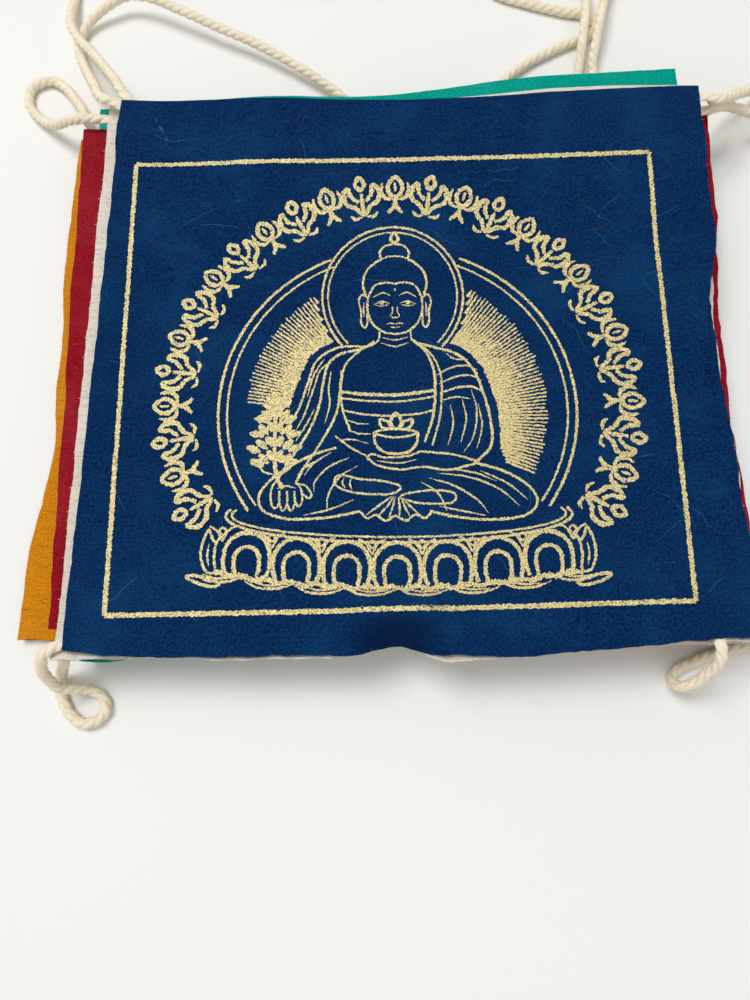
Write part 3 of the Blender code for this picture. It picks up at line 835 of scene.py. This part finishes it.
class Drawing:
    """Inked strokes on a sheet, made as flat ribbons just above the paper."""

    def __init__(self, seed: int, surface: Surface) -> None:
        self.bm = bmesh.new()
        self.random = random.Random(seed)
        self.surface = surface

    def ribbon(
        self,
        points: np.ndarray,
        width: float,
        taper: float = 0,
        rough: float = 0.16,
        closed: bool = False,
        tip: float = 1,
    ) -> None:
        """Lay a ribbon of a wandering width along points in x and y.

        Args:
            points: Even points in millimetres.
            width: Full width in millimetres.
            taper: Share of the width that is lost at both ends.
            rough: How much the ink's edge wanders, as a share of the width plus a little.
            closed: Whether the last point meets the first.
            tip: Share of the width that is left at the last point.
        """
        if closed:
            ways = np.roll(points, -1, 0) - np.roll(points, 1, 0)
            ways[0] = ways[-1] = points[1] - points[-2]
        else:
            ways = np.gradient(points, axis=0)
        ways /= np.maximum(np.linalg.norm(ways, axis=1, keepdims=True), 1e-9)
        sides = np.stack([-ways[:, 1], ways[:, 0]], 1)
        last = None
        hover = 0.03 + 0.012 * self.random.random()
        count = len(points) - 1
        for index, (point, side) in enumerate(zip(points, sides)):
            share = index / count
            thin = 1 - taper * (1 - math.sin(math.pi * min(max(share, 0.02), 0.98)) ** 0.6)
            thin *= 1 - (1 - tip) * share
            pair = []
            for sign in (1, -1):
                half = width / 2 * thin + (rough * width + 0.035) * self.random.uniform(-1, 1) * 0.8
                x, y = point + sign * max(half, 0.03) * side
                pair.append(self.bm.verts.new(place(x, y, self.surface(x, y) + hover)))
            if last:
                self.bm.faces.new((last[0], last[1], pair[1], pair[0]))
            last = pair

    def stroke(self, stroke: Stroke, move: Callable[[Point], Point]) -> None:
        """Draw a stroke of a table through a placing of its points."""
        for sign in (1, -1) if stroke.mirrored else (1,):
            points = [move((sign * x, y)) for x, y in stroke.points]
            step = min(INK_STEP, math.dist(points[0], points[1]) / 2)
            line = smooth_route(points, step, stroke.closed)
            self.ribbon(line, stroke.width, stroke.taper, closed=stroke.closed)

    def table(
        self,
        strokes: Iterable[Stroke],
        at: Point = (0, 0),
        turn: float = 0,
        size: float = 1,
        flip: bool = False,
    ) -> None:
        """Draw a table of strokes, placed, turned in degrees and sized."""
        cos, sin = math.cos(math.radians(turn)), math.sin(math.radians(turn))

        def move(point: Point) -> Point:
            x, y = (-point[0] if flip else point[0]) * size, point[1] * size
            return at[0] + cos * x - sin * y, at[1] + sin * x + cos * y

        for stroke in strokes:
            self.stroke(stroke, move)

    def arc(self, centre: Point, radii: Point, start: float, end: float, width: float) -> None:
        """Draw an elliptic arc between two angles in degrees."""
        angles = np.radians(np.linspace(start, end, 160))
        curve = np.stack([centre[0] + radii[0] * np.cos(angles), centre[1] + radii[1] * np.sin(angles)], 1)
        self.ribbon(even_points(curve, INK_STEP), width)

    def leaf(self, x: float, y: float, angle: float, length: float, width: float) -> None:
        """Draw a small pointed leaf, filled by its own width."""
        way = (math.cos(math.radians(angle)), math.sin(math.radians(angle)))
        parts = np.linspace(-length / 2, length / 2, 9)
        self.ribbon(np.array([(x + way[0] * part, y + way[1] * part) for part in parts]), width, taper=0.95)

    def build(self, name: str, materials: Sequence[bpy.types.Material]) -> bpy.types.Object:
        """Finish the drawing as one object."""
        bmesh.ops.recalc_face_normals(self.bm, faces=self.bm.faces[:])
        for face in self.bm.faces:
            if face.normal.z < 0:
                face.normal_flip()
        return finished(name, self.bm, materials)


class GoldPrint:
    """The print on the blue flag."""

    HALO = (-2.6, 8.5)
    HALO_RADII = (12.3, 13.4)
    GLORY = (-2.1, -12.4)
    GLORY_RADIUS = 30.2
    RING = (-2.0, -11.0)
    RING_RADII = (37.8, 38.6)
    RING_COUNT = 14
    RING_STEP = 9.1
    FRAME = (
        ((-49.9, 36.1), (-20.0, 34.6), (10.0, 34.5), (43.6, 34.9)),
        ((43.6, 34.9), (44.1, 18.0), (44.6, -45.2)),
        ((44.6, -45.2), (-2.0, -46.4), (-48.9, -47.1)),
        ((-48.9, -47.1), (-49.9, 36.1)),
    )
    PETAL_PITCH = 8.1

    # How far the body reaches from its middle at some angles, and the angles of the fans of rays.
    BODY_REACH = (
        (-40, 21.5), (-29, 19.9), (-18, 16.6), (-4, 15.9), (14, 15.4), (32, 15.7), (46, 15.5), (61, 14.3),
        (112, 13.8), (127, 15.9), (142, 17.0), (158, 16.2), (174, 16.5), (187, 18.3),
    )
    FANS = ((-24.0, 66.0), (112.0, 174.0))

    def __init__(self, surface: Surface) -> None:
        self.ink = Drawing(5, surface)

    def frame(self) -> None:
        """The single line around the print."""
        for side in self.FRAME:
            self.ink.ribbon(smooth_route(side, INK_STEP), 0.78, rough=0.15)

    def halo(self) -> None:
        """The double circle behind the head and the large one behind the body."""
        for shrink, width in ((0.0, 0.4), (1.0, 0.3)):
            radii = (self.HALO_RADII[0] - shrink, self.HALO_RADII[1] - shrink)
            self.ink.arc(self.HALO, radii, -47, 227, width)
        for shrink, width in ((0.0, 0.46), (1.5, 0.34)):
            radius = self.GLORY_RADIUS - shrink
            self.ink.arc(self.GLORY, (radius, radius), -35, 68, width)
            self.ink.arc(self.GLORY, (radius, radius), 112, 216, width)

    def rays(self) -> None:
        """Combed fans between the body and the large circle, merging near the body."""
        chance = self.ink.random
        centre = np.array((FIGURE_X, -14.0))
        angles, reaches = zip(*self.BODY_REACH)
        for first, last in self.FANS:
            for angle in np.arange(first, last, 1.5):
                way = np.array((math.cos(math.radians(angle)), math.sin(math.radians(angle))))
                inner = float(np.interp(angle, angles, reaches)) + 1.5 + chance.uniform(-0.15, 0.15)
                limit = 25.5 + chance.uniform(-0.35, 0.25)
                line = [centre + way * reach for reach in np.arange(inner, 31.0, 0.3)]
                line = [
                    point for point in line
                    if math.dist(point, self.GLORY) < limit and not self.in_halo(*point)
                ]
                if len(line) > 4:
                    self.ink.ribbon(np.array(line), 0.56, rough=0.16, tip=0.42)

    def in_halo(self, x: float, y: float) -> bool:
        """Whether a place is inside the circle behind the head."""
        across = (x - self.HALO[0]) / (self.HALO_RADII[0] + 0.7)
        up = (y - self.HALO[1]) / (self.HALO_RADII[1] + 0.7)
        return across * across + up * up < 1

    def figure(self) -> None:
        """The seated figure with the bowl and the sprig."""
        for strokes in (HEAD, ROBE, HANDS_AND_BOWL, LEGS, SPRIG):
            self.ink.table(strokes, at=(FIGURE_X, 0))
        for rise, spread in SPRIG_TIERS:
            for out, up, angle, length in SPRIG_FAN:
                for sign in (1, -1):
                    tilt = (angle if sign > 0 else 180 - angle) + self.ink.random.uniform(-8, 8)
                    self.ink.leaf(FIGURE_X - 20.3 + sign * out * spread, rise + up, tilt, length, 1.25)

    def throne(self) -> None:
        """The seat, the arched petals and the small leaves below them."""
        for rx, ry, rise, width in ((28.2, 4.6, 0.0, 0.42), (27.2, 3.8, 0.1, 0.34)):
            self.ink.arc((FIGURE_X + 0.2, -31.0 + rise), (rx, ry), 166, 374, width)
        for index in range(-3, 4):
            middle = FIGURE_X + index * self.PETAL_PITCH
            base = self.base_line(middle)
            for half, tall, width in ((3.75, 7.2, 0.66), (2.05, 4.9, 0.64)):
                self.arch(middle, base, half, tall, width)
        for index in range(-4, 4):
            middle = FIGURE_X + (index + 0.5) * self.PETAL_PITCH
            base = self.base_line(middle)
            self.ink.table(SPANDREL, at=(middle, base + 6.7))
            self.ink.table(BASE_LEAVES, at=(middle, base - 0.4))
        across = np.arange(-31.5, 27.5, INK_STEP)
        band = [(x, self.base_line(x) - 0.15 + 0.2 * math.sin(1.55 * x)) for x in across]
        self.ink.ribbon(np.array(band), 0.8, rough=0.3)
        self.ink.table(THRONE_ENDS, at=(FIGURE_X, 0))

    @staticmethod
    def base_line(x: float) -> float:
        """Height on the sheet of the throne's foot, which sags in the middle."""
        return -42.8 + 0.0030 * (x - FIGURE_X) ** 2

    def arch(self, middle: float, base: float, half: float, tall: float, width: float) -> None:
        """One arched petal line, open at its foot."""
        straight = tall - half
        curve = [(middle - half * 0.86, base), (middle - half, base + 0.5 * straight)]
        for angle in range(180, -1, -20):
            way = math.radians(angle)
            curve.append((middle + half * math.cos(way), base + straight + half * math.sin(way)))
        curve += [(middle + half, base + 0.5 * straight), (middle + half * 0.86, base)]
        self.ink.ribbon(smooth_route(curve, INK_STEP), width)

    def ring(self) -> None:
        """Palmettes and buds in turn around the large circle, the same on both sides."""
        for index in range(self.RING_COUNT):
            step = self.RING_STEP * index
            for sign in (1, -1) if index else (1,):
                angle = math.radians(90 - sign * step)
                at = (
                    self.RING[0] + self.RING_RADII[0] * math.cos(angle),
                    self.RING[1] + self.RING_RADII[1] * math.sin(angle),
                )
                strokes = BUD if index % 2 == 0 else PALMETTE
                self.ink.table(strokes, at, turn=-sign * step, size=1.08, flip=sign < 0)
                if index < self.RING_COUNT - 1:
                    dot = math.radians(90 - sign * (step + self.RING_STEP / 2))
                    x = self.RING[0] + (self.RING_RADII[0] + 1.2) * math.cos(dot)
                    y = self.RING[1] + (self.RING_RADII[1] + 1.2) * math.sin(dot)
                    self.ink.leaf(x, y, math.degrees(dot), 1.0, 0.95)

    def build(self) -> bpy.types.Object:
        """Draw everything and finish the print."""
        self.frame()
        self.halo()
        self.rays()
        self.figure()
        self.throne()
        self.ring()
        piece = self.ink.build("gold_print", [gold_ink()])
        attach(piece, BODY)
        return piece


# Cords


class FarEnd(Enum):
    """What a cord's far end meets."""

    OBJECT = "object"
    KNOT = "knot"


@dataclass(frozen=True)
class CordRoute:
    """A cord's node, what it ends at and the route of its middle."""

    node: str
    far_end: FarEnd
    points: tuple[Place, ...]
    tucked: tuple[Place | None, Place | None] = (None, None)


LOW = 1.05

CORDS = (
    CordRoute("cord_bail", FarEnd.OBJECT, (
        (-55.3, 50.4, 12.6), (-57.4, 51.3, 12.5), (-59.3, 53.4, 11.4), (-60.6, 56.4, 9.6),
        (-62.3, 59.6, 7.6), (-64.2, 63.3, 5.4), (-66.2, 67.2, 3.2), (-67.9, 70.9, 1.7),
        (-69.0, 74.4, 1.2), (-68.6, 77.9, 1.2), (-66.6, 80.9, 1.9), (-63.2, 83.2, 3.0),
        (-58.9, 84.9, 3.9), (-53.9, 83.9, 4.6), (-47.1, 80.7, 4.4), (-39.3, 76.7, 3.9),
        (-31.5, 72.9, 3.4), (-23.5, 68.1, 2.9), (-17.3, 63.9, 2.3), (-12.6, 60.3, 1.6),
        (-8.6, 55.8, LOW), (-4.0, 49.8, LOW), (2.5, 45.8, LOW), (9.0, 45.6, LOW),
        (14.4, 49.4, LOW), (17.4, 56.2, LOW), (20.2, 63.2, LOW), (25.1, 67.7, LOW),
        (30.7, 71.0, LOW), (35.4, 73.3, LOW), (39.2, 74.9, LOW), (40.6, 77.7, LOW),
        (38.6, 80.2, LOW), (34.4, 81.0, LOW), (30.1, 82.3, LOW), (25.9, 83.8, LOW),
        (21.0, 85.8, LOW), (17.2, 88.9, LOW), (17.4, 93.2, LOW), (21.4, 95.8, LOW),
        (27.4, 95.8, LOW), (33.2, 93.4, 1.3), (37.2, 89.4, 2.2), (38.5, 84.7, 3.4),
        (38.1, 80.0, 3.9), (37.5, 75.0, 3.9), (36.9, 70.6, 3.0), (36.3, 66.3, 1.6),
        (35.2, 61.0, LOW), (33.5, 55.4, LOW), (33.2, 50.0, LOW), (35.0, 46.0, LOW),
        (38.6, 44.6, LOW), (42.1, 46.2, LOW), (43.4, 50.3, LOW), (42.2, 55.8, LOW),
        (40.2, 61.0, LOW), (39.1, 66.3, 1.6), (39.7, 70.6, 3.0), (40.6, 75.2, 3.9),
        (41.8, 80.2, 3.7), (43.4, 84.9, 2.4), (46.4, 90.4, 1.2), (51.8, 94.8, LOW),
        (59.0, 96.4, LOW), (67.0, 95.2, LOW), (74.0, 91.2, LOW), (79.0, 85.0, LOW),
        (81.2, 77.5, LOW), (81.0, 70.0, 2.0), (77.4, 63.1, 4.3), (72.0, 57.6, 7.0),
        (66.2, 53.1, 9.6), (62.1, 49.9, 11.8), (58.3, 46.8, 14.4), (56.6, 46.5, 14.5),
        (55.5, 46.8, 15.1),
    ), tucked=((-53.3, 49.3, 12.4), (52.9, 46.6, 14.95))),
    CordRoute("cord_tail", FarEnd.KNOT, (
        (-53.4, 52.0, 12.4), (-54.9, 54.1, 12.3), (-56.4, 57.0, 11.1), (-58.9, 61.0, 9.0),
        (-61.5, 65.3, 7.0), (-64.4, 69.6, 5.2), (-67.3, 73.3, 4.2), (-69.7, 77.2, 3.6),
        (-70.8, 81.2, 2.6), (-71.0, 85.4, 1.5), (-71.1, 90.0, LOW), (-71.4, 94.4, LOW),
    ), tucked=((-52.2, 50.5, 12.4), None)),
    CordRoute("link_top_left", FarEnd.OBJECT, (
        (-58.2, 49.2, 9.6), (-62.2, 49.6, 9.5), (-66.4, 50.9, 7.5), (-70.6, 52.8, 4.2),
        (-75.0, 56.2, 1.8), (-78.2, 60.6, LOW), (-77.9, 64.8, LOW), (-74.3, 66.4, LOW),
        (-70.8, 64.2, 1.5), (-67.8, 60.0, 2.9), (-65.4, 56.2, 4.9), (-63.6, 52.6, 6.5),
        (-62.2, 49.6, 6.8),
    ), tucked=((-55.6, 48.9, 9.6), (-61.8, 47.0, 6.8))),
    CordRoute("link_top_right", FarEnd.OBJECT, (
        (56.3, 46.2, 12.3), (57.5, 46.8, 12.1), (60.1, 48.7, 10.4), (62.6, 49.8, 8.8),
        (67.3, 50.4, 6.4), (71.6, 50.0, 4.0), (75.4, 50.3, 2.4), (78.7, 52.0, 1.3),
        (80.0, 55.2, LOW), (79.1, 58.7, LOW), (76.6, 60.3, LOW), (73.3, 59.7, 1.6),
        (69.2, 57.9, 3.6), (64.3, 55.0, 6.0), (61.8, 52.8, 7.2), (59.3, 50.3, 8.6),
        (57.9, 48.9, 9.4),
    ), tucked=((53.4, 45.8, 12.25), (56.2, 46.6, 9.45))),
    CordRoute("link_bottom_left", FarEnd.OBJECT, (
        (-56.6, -51.9, 12.5), (-58.4, -53.3, 12.5), (-59.4, -55.4, 10.1), (-59.3, -56.8, 7.5),
        (-58.5, -58.1, 5.4), (-56.8, -58.3, 3.5), (-54.8, -58.4, 1.8), (-52.8, -59.4, LOW),
        (-51.8, -61.4, LOW), (-52.9, -63.3, LOW), (-55.4, -64.0, LOW), (-57.8, -62.5, LOW),
        (-59.2, -60.3, LOW), (-60.0, -58.3, LOW), (-59.6, -56.5, 1.9), (-58.5, -55.4, 4.5),
        (-57.3, -54.1, 6.8), (-56.3, -52.0, 6.9),
    ), tucked=((-53.6, -51.0, 12.4), (-55.3, -50.4, 7.0))),
    CordRoute("link_bottom_right", FarEnd.OBJECT, (
        (48.0, -52.6, 12.5), (48.1, -54.4, 11.5), (47.9, -55.4, 9.6), (47.2, -56.4, 7.6),
        (46.2, -57.4, 6.0), (45.0, -58.1, 4.7), (43.9, -58.1, 3.1), (43.6, -57.1, 1.7),
        (44.3, -55.8, 1.1), (45.8, -54.9, LOW), (47.6, -54.2, LOW), (49.6, -53.3, LOW),
        (52.0, -52.5, LOW), (54.9, -51.8, LOW), (58.8, -51.4, 1.3), (62.4, -49.6, 2.6),
        (63.8, -46.4, 4.8), (62.2, -43.4, 7.4), (58.9, -42.2, 9.2), (55.4, -42.2, 9.6),
    ), tucked=((47.8, -50.0, 12.4), (52.8, -42.2, 9.6))),
)
KNOT_AT = (-71.5, 97.4, 2.05)

# How far from a tucked end the cord starts to round out and is round, and its yarns and their way.
TUCK = (1.2, 4.2)
YARN_RADIUS = 0.33
YARN_ORBIT = 0.165


@dataclass
class TwistedCord:
    """A cord of three yarns twisted together, with loose fibres."""

    route: CordRoute
    cotton: bpy.types.Material
    diameter: float = 2.0
    twist: float = 5.6
    step: float = 0.4
    around: int = 9
    fuzz: float = 13.0
    path: np.ndarray = field(init=False)

    def __post_init__(self) -> None:
        first, last = self.route.tucked
        points = [*([first] if first else []), *self.route.points, *([last] if last else [])]
        self.path = smooth_route(points, self.step)

    def squash(self, row: int) -> float:
        """How much a tucked end is pressed flat between the leaves."""
        first, last = self.route.tucked
        flat = 1.0
        if first:
            flat = min(flat, smooth_step(row * self.step, *TUCK))
        if last:
            flat = min(flat, smooth_step((len(self.path) - 1 - row) * self.step, *TUCK))
        return 0.4 + 0.6 * flat

    def frames(self) -> tuple[np.ndarray, np.ndarray, np.ndarray]:
        """Directions along the cord, to its side and up from it, at each point."""
        ways = np.gradient(self.path, axis=0)
        ways /= np.linalg.norm(ways, axis=1, keepdims=True)
        sides = np.cross(ways, (0, 0, 1.0))
        sides /= np.linalg.norm(sides, axis=1, keepdims=True)
        return ways, sides, np.cross(sides, ways)

    def yarn(self, turn: float) -> bmesh.types.BMesh:
        """One yarn as a tube that winds around the cord's middle."""
        _, sides, ups = self.frames()
        yarn_radius = YARN_RADIUS * self.diameter
        orbit = YARN_ORBIT * self.diameter
        last = len(self.path) - 1

        def point(column: int, row: int) -> Vector:
            phase = turn + 2 * math.pi * row * self.step / self.twist
            across, up = sides[row], ups[row] * self.squash(row)
            middle = self.path[row] + orbit * (math.cos(phase) * across + math.sin(phase) * up)
            ends = min(row, last - row) / 4
            swell = 1 + 0.07 * wander(row * self.step / 2.1, turn)
            radius = yarn_radius * swell * math.sqrt(max(0.0, 1 - max(0.0, 1 - ends) ** 2))
            angle = 2 * math.pi * column / self.around
            return place(*(middle + radius * (math.cos(angle) * across + math.sin(angle) * up)))

        bm = mapped_grid(self.around, last, point)
        length = last * self.step
        layer = bm.loops.layers.uv.active
        for face in bm.faces:
            for loop in face.loops:
                loop[layer].uv.y *= length / 10
        bmesh.ops.remove_doubles(bm, verts=bm.verts[:], dist=1e-7)
        return bm

    def add_fuzz(self, bm: bmesh.types.BMesh) -> None:
        """Loose fibres that stand off the cord."""
        chance = random.Random(self.route.node)
        ways, sides, ups = self.frames()
        for _ in range(int(self.fuzz * len(self.path) * self.step)):
            row = chance.randrange(12, len(self.path) - 12)
            angle = chance.uniform(0, 2 * math.pi)
            out = math.cos(angle) * sides[row] + math.sin(angle) * ups[row]
            along = ways[row] * chance.choice((-1, 1))
            reach, length = chance.uniform(0.08, 0.42), chance.uniform(0.5, 1.7)
            base = self.path[row] + out * self.diameter * 0.45
            across = np.cross(along, out) * chance.uniform(0.018, 0.036)
            last = None
            for share in (0, 0.35, 0.7, 1.0):
                at = base + along * length * share + out * reach * math.sin(1.6 * share)
                at = at + np.cross(along, out) * 0.3 * share * share
                if at[2] < 0.05:
                    break
                thin = 1 - 0.6 * share
                pair = [bm.verts.new(place(*(at + sign * across * thin))) for sign in (1, -1)]
                if last:
                    bm.faces.new((last[0], last[1], pair[1], pair[0]))
                last = pair

    def build(self) -> bpy.types.Object:
        """Make the cord and hide the part it replaces."""
        bm = self.yarn(0.0)
        for part in (1, 2):
            other = self.yarn(part * 2 * math.pi / 3)
            spare = bpy.data.meshes.new("spare")
            other.to_mesh(spare)
            other.free()
            bm.from_mesh(spare)
            bpy.data.meshes.remove(spare)
        self.add_fuzz(bm)
        piece = finished(f"{self.route.node}_twisted", bm, [self.cotton])
        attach(piece, BODY)
        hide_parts(self.route.node)
        return piece

    def declare(self, piece: bpy.types.Object, ends: Sequence[bpy.types.Object] = ()) -> None:
        """Work out the cord's length and points along its path; nothing is done with them."""
        length = float(np.linalg.norm(np.diff(self.path, axis=0), axis=1).sum()) * MM
        path = [tuple(place(*point)) for point in self.path[::4]]
        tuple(path[0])


def build_knot(cotton: bpy.types.Material) -> bpy.types.Object:
    """The small overhand knot at the tail's end."""
    points = []
    for index in range(14):
        turn = 2 * math.pi * index / 14
        ring = 1.0 + 0.42 * math.cos(3 * turn)
        points.append((
            KNOT_AT[0] + 1.05 * ring * math.cos(2 * turn),
            KNOT_AT[1] + 1.25 * ring * math.sin(2 * turn),
            KNOT_AT[2] + 0.85 * math.sin(3 * turn),
        ))
    rope = TwistedCord(CordRoute("tail_knot", FarEnd.KNOT, tuple(points)), cotton, diameter=1.9, fuzz=1.2)
    return rope.build()


# The scene around the part


@dataclass(frozen=True)
class View:
    """Where the photograph was taken from; angles in degrees, the place in millimetres."""

    place: Place = (-2.51, -60.06, 136.83)
    azimuth: float = 5.84
    elevation: float = 75.61
    roll: float = -6.14
    lens: float = 28.08

    def camera(self) -> bpy.types.Object:
        """Make the camera."""
        az, el, roll = (math.radians(value) for value in (self.azimuth, self.elevation, self.roll))
        back = Vector((math.sin(az) * math.cos(el), -math.cos(az) * math.cos(el), math.sin(el)))
        right = Vector((math.cos(az), math.sin(az), 0))
        up = back.cross(right)
        turned_right = math.cos(roll) * right + math.sin(roll) * up
        turned_up = math.cos(roll) * up - math.sin(roll) * right
        data = bpy.data.cameras.new("camera")
        data.lens = self.lens
        data.sensor_width = 36
        data.clip_start = 0.005
        obj = bpy.data.objects.new("camera", data)
        turn = Matrix((turned_right, turned_up, back)).transposed()
        obj.matrix_world = Matrix.Translation(place(*self.place)) @ turn.to_4x4()
        bpy.context.scene.collection.objects.link(obj)
        bpy.context.scene.camera = obj
        return obj


def soft_light(name: str, at: Place, size: float, power: float) -> None:
    """An area light that looks at the flags."""
    data = bpy.data.lights.new(name, "AREA")
    data.size = size
    data.energy = power
    obj = bpy.data.objects.new(name, data)
    obj.location = at
    obj.rotation_euler = (-Vector(at)).to_track_quat("-Z", "Y").to_euler()
    bpy.context.scene.collection.objects.link(obj)


def studio() -> None:
    """Pale table top, even sky and one soft light from behind on the left."""
    world = bpy.data.worlds.new("studio")
    world.use_nodes = True
    world.node_tree.nodes["Background"].inputs["Color"].default_value = (1.0, 1.0, 0.985, 1)
    world.node_tree.nodes["Background"].inputs["Strength"].default_value = 0.47
    bpy.context.scene.world = world
    bpy.context.scene.view_settings.view_transform = "Standard"
    soft_light("key", (-0.48, 0.42, 1.40), size=0.72, power=14.2)
    soft_light("fill", (0.20, -0.60, 0.75), size=0.9, power=1.25)
    table = Nodes("table_top", 0.55)
    bm = bmesh.new()
    bmesh.ops.create_grid(bm, x_segments=1, y_segments=1, size=1.5)
    cloudy = table.noise(6, detail=2)
    pale = table.mix(cloudy, (0.83, 0.83, 0.805), (0.86, 0.86, 0.835))
    floor = finished("table_top", bm, [table.finish(pale, cloudy, depth=0.0001, strength=0.05)])


FIBRE_COLOURS = {"dark": (0.004, 0.012, 0.04), "pale": (0.008, 0.06, 0.155)}
FIBRE_COUNT = 110
FIBRE_STEP = 1.5
FIBRE_SINK = 0.02

DARK_STRANDS = (
    ((31.5, 20.5), (34.4, 21.2), (36.8, 22.6)),
    ((-24.4, 20.2), (-25.8, 18.6), (-26.2, 16.9)),
    ((37.2, -18.4), (38.6, -19.0)),
)
PALE_FLECKS = (
    ((-47.1, 46.3), (-46.7, 45.2)),
    ((-46.3, 44.6), (-45.7, 43.6), (-45.0, 42.8)),
    ((-44.8, 42.2), (-44.4, 40.9)),
    ((-45.9, 44.4), (-45.5, 43.4)),
)


def loose_fibres(surface: Surface) -> None:
    """Dark and pale bark fibres in the blue sheet's face."""
    chance = random.Random(11)

    def sunk(x: float, y: float) -> float:
        return surface(x, y) - FIBRE_SINK

    strands = {"dark": Drawing(21, sunk), "pale": Drawing(22, sunk)}
    for index in range(FIBRE_COUNT):
        x, y = chance.uniform(-52, 49), chance.uniform(-49, 48)
        way = chance.uniform(0, 2 * math.pi)
        points = [(x, y)]
        for _ in range(chance.randrange(2, 6)):
            way += chance.uniform(-0.5, 0.5)
            x, y = x + FIBRE_STEP * math.cos(way), y + FIBRE_STEP * math.sin(way)
            if not (-53 < x < 49 and -50 < y < 49):
                break
            points.append((x, y))
        if len(points) > 2:
            drawing = strands["dark" if index % 5 < 2 else "pale"]
            drawing.ribbon(smooth_route(points, 0.3), chance.uniform(0.05, 0.11), taper=0.8, rough=0.1)
    for points in DARK_STRANDS:
        strands["dark"].ribbon(smooth_route(points, 0.3), 0.24, taper=0.7, rough=0.2)
    for points in PALE_FLECKS:
        strands["pale"].ribbon(smooth_route(points, 0.2), 0.2, taper=0.8, rough=0.2)
    for key, drawing in strands.items():
        piece = drawing.build(f"blue_fibres_{key}", [strand_material(f"fibre_{key}", FIBRE_COLOURS[key])])
        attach(piece, BODY)


def fringe(flag: PaperFlag) -> bpy.types.Object:
    """Short fibres that stand out of a flag's torn edges."""
    chance = random.Random(flag.shape.level)
    bm = bmesh.new()
    for (x, y, z), out in flag.rim(step=1.3):
        way = math.atan2(out[1], out[0]) + chance.uniform(-0.9, 0.9)
        length = chance.uniform(0.0, 0.45)
        start = Vector((x - out[0] * 0.35, y - out[1] * 0.35, z + chance.uniform(-0.1, 0.3)))
        run = Vector((math.cos(way), math.sin(way), chance.uniform(-0.2, 0.25))) * (length + 0.3)
        across = Vector((-run.y, run.x, 0)).normalized() * 0.035
        corners = (start + across, start - across, start + run - across * 0.4, start + run + across * 0.4)
        bm.faces.new([bm.verts.new(place(*corner)) for corner in corners])
    dye = DYES[flag.shape.node]
    piece = finished(f"{flag.shape.node}_fringe", bm, [strand_material(f"{dye.name}_fringe", dye.plain)])
    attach(piece, BODY)
    return piece


ABOVE_ALL = 60
TOP_FACE = 13.4


def top_surface(sheet: bpy.types.Object) -> Surface:
    """Height in millimetres of the top face of a finished sheet."""
    tree = BVHTree.FromObject(sheet, bpy.context.evaluated_depsgraph_get())

    def height(x: float, y: float) -> float:
        hit = tree.ray_cast(place(x, y, ABOVE_ALL), Vector((0, 0, -1)))
        return hit[0].z / MM if hit[0] else TOP_FACE

    return height


def main() -> None:
    """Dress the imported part."""
    logging.basicConfig(level=logging.INFO, format="%(name)s: %(message)s")
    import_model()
    View().camera()
    cotton = cotton_material()
    cords = [TwistedCord(route, cotton) for route in CORDS]
    knot = build_knot(cotton)
    for cord in cords:
        piece = cord.build()
        cord.declare(piece, [knot] if cord.route.far_end is FarEnd.KNOT else [])
    LOG.info("cords done")
    flags = [PaperFlag(shape, BLUE_DENTS if shape.node == "flag_blue" else ()) for shape in FLAGS]
    sheets = [flag.build() for flag in flags]
    surface = top_surface(sheets[-1])
    GoldPrint(surface).build()
    loose_fibres(surface)
    for flag in flags:
        fringe(flag)
    LOG.info("sheets and print done")
    studio()


if __name__ == "__main__":
    main()
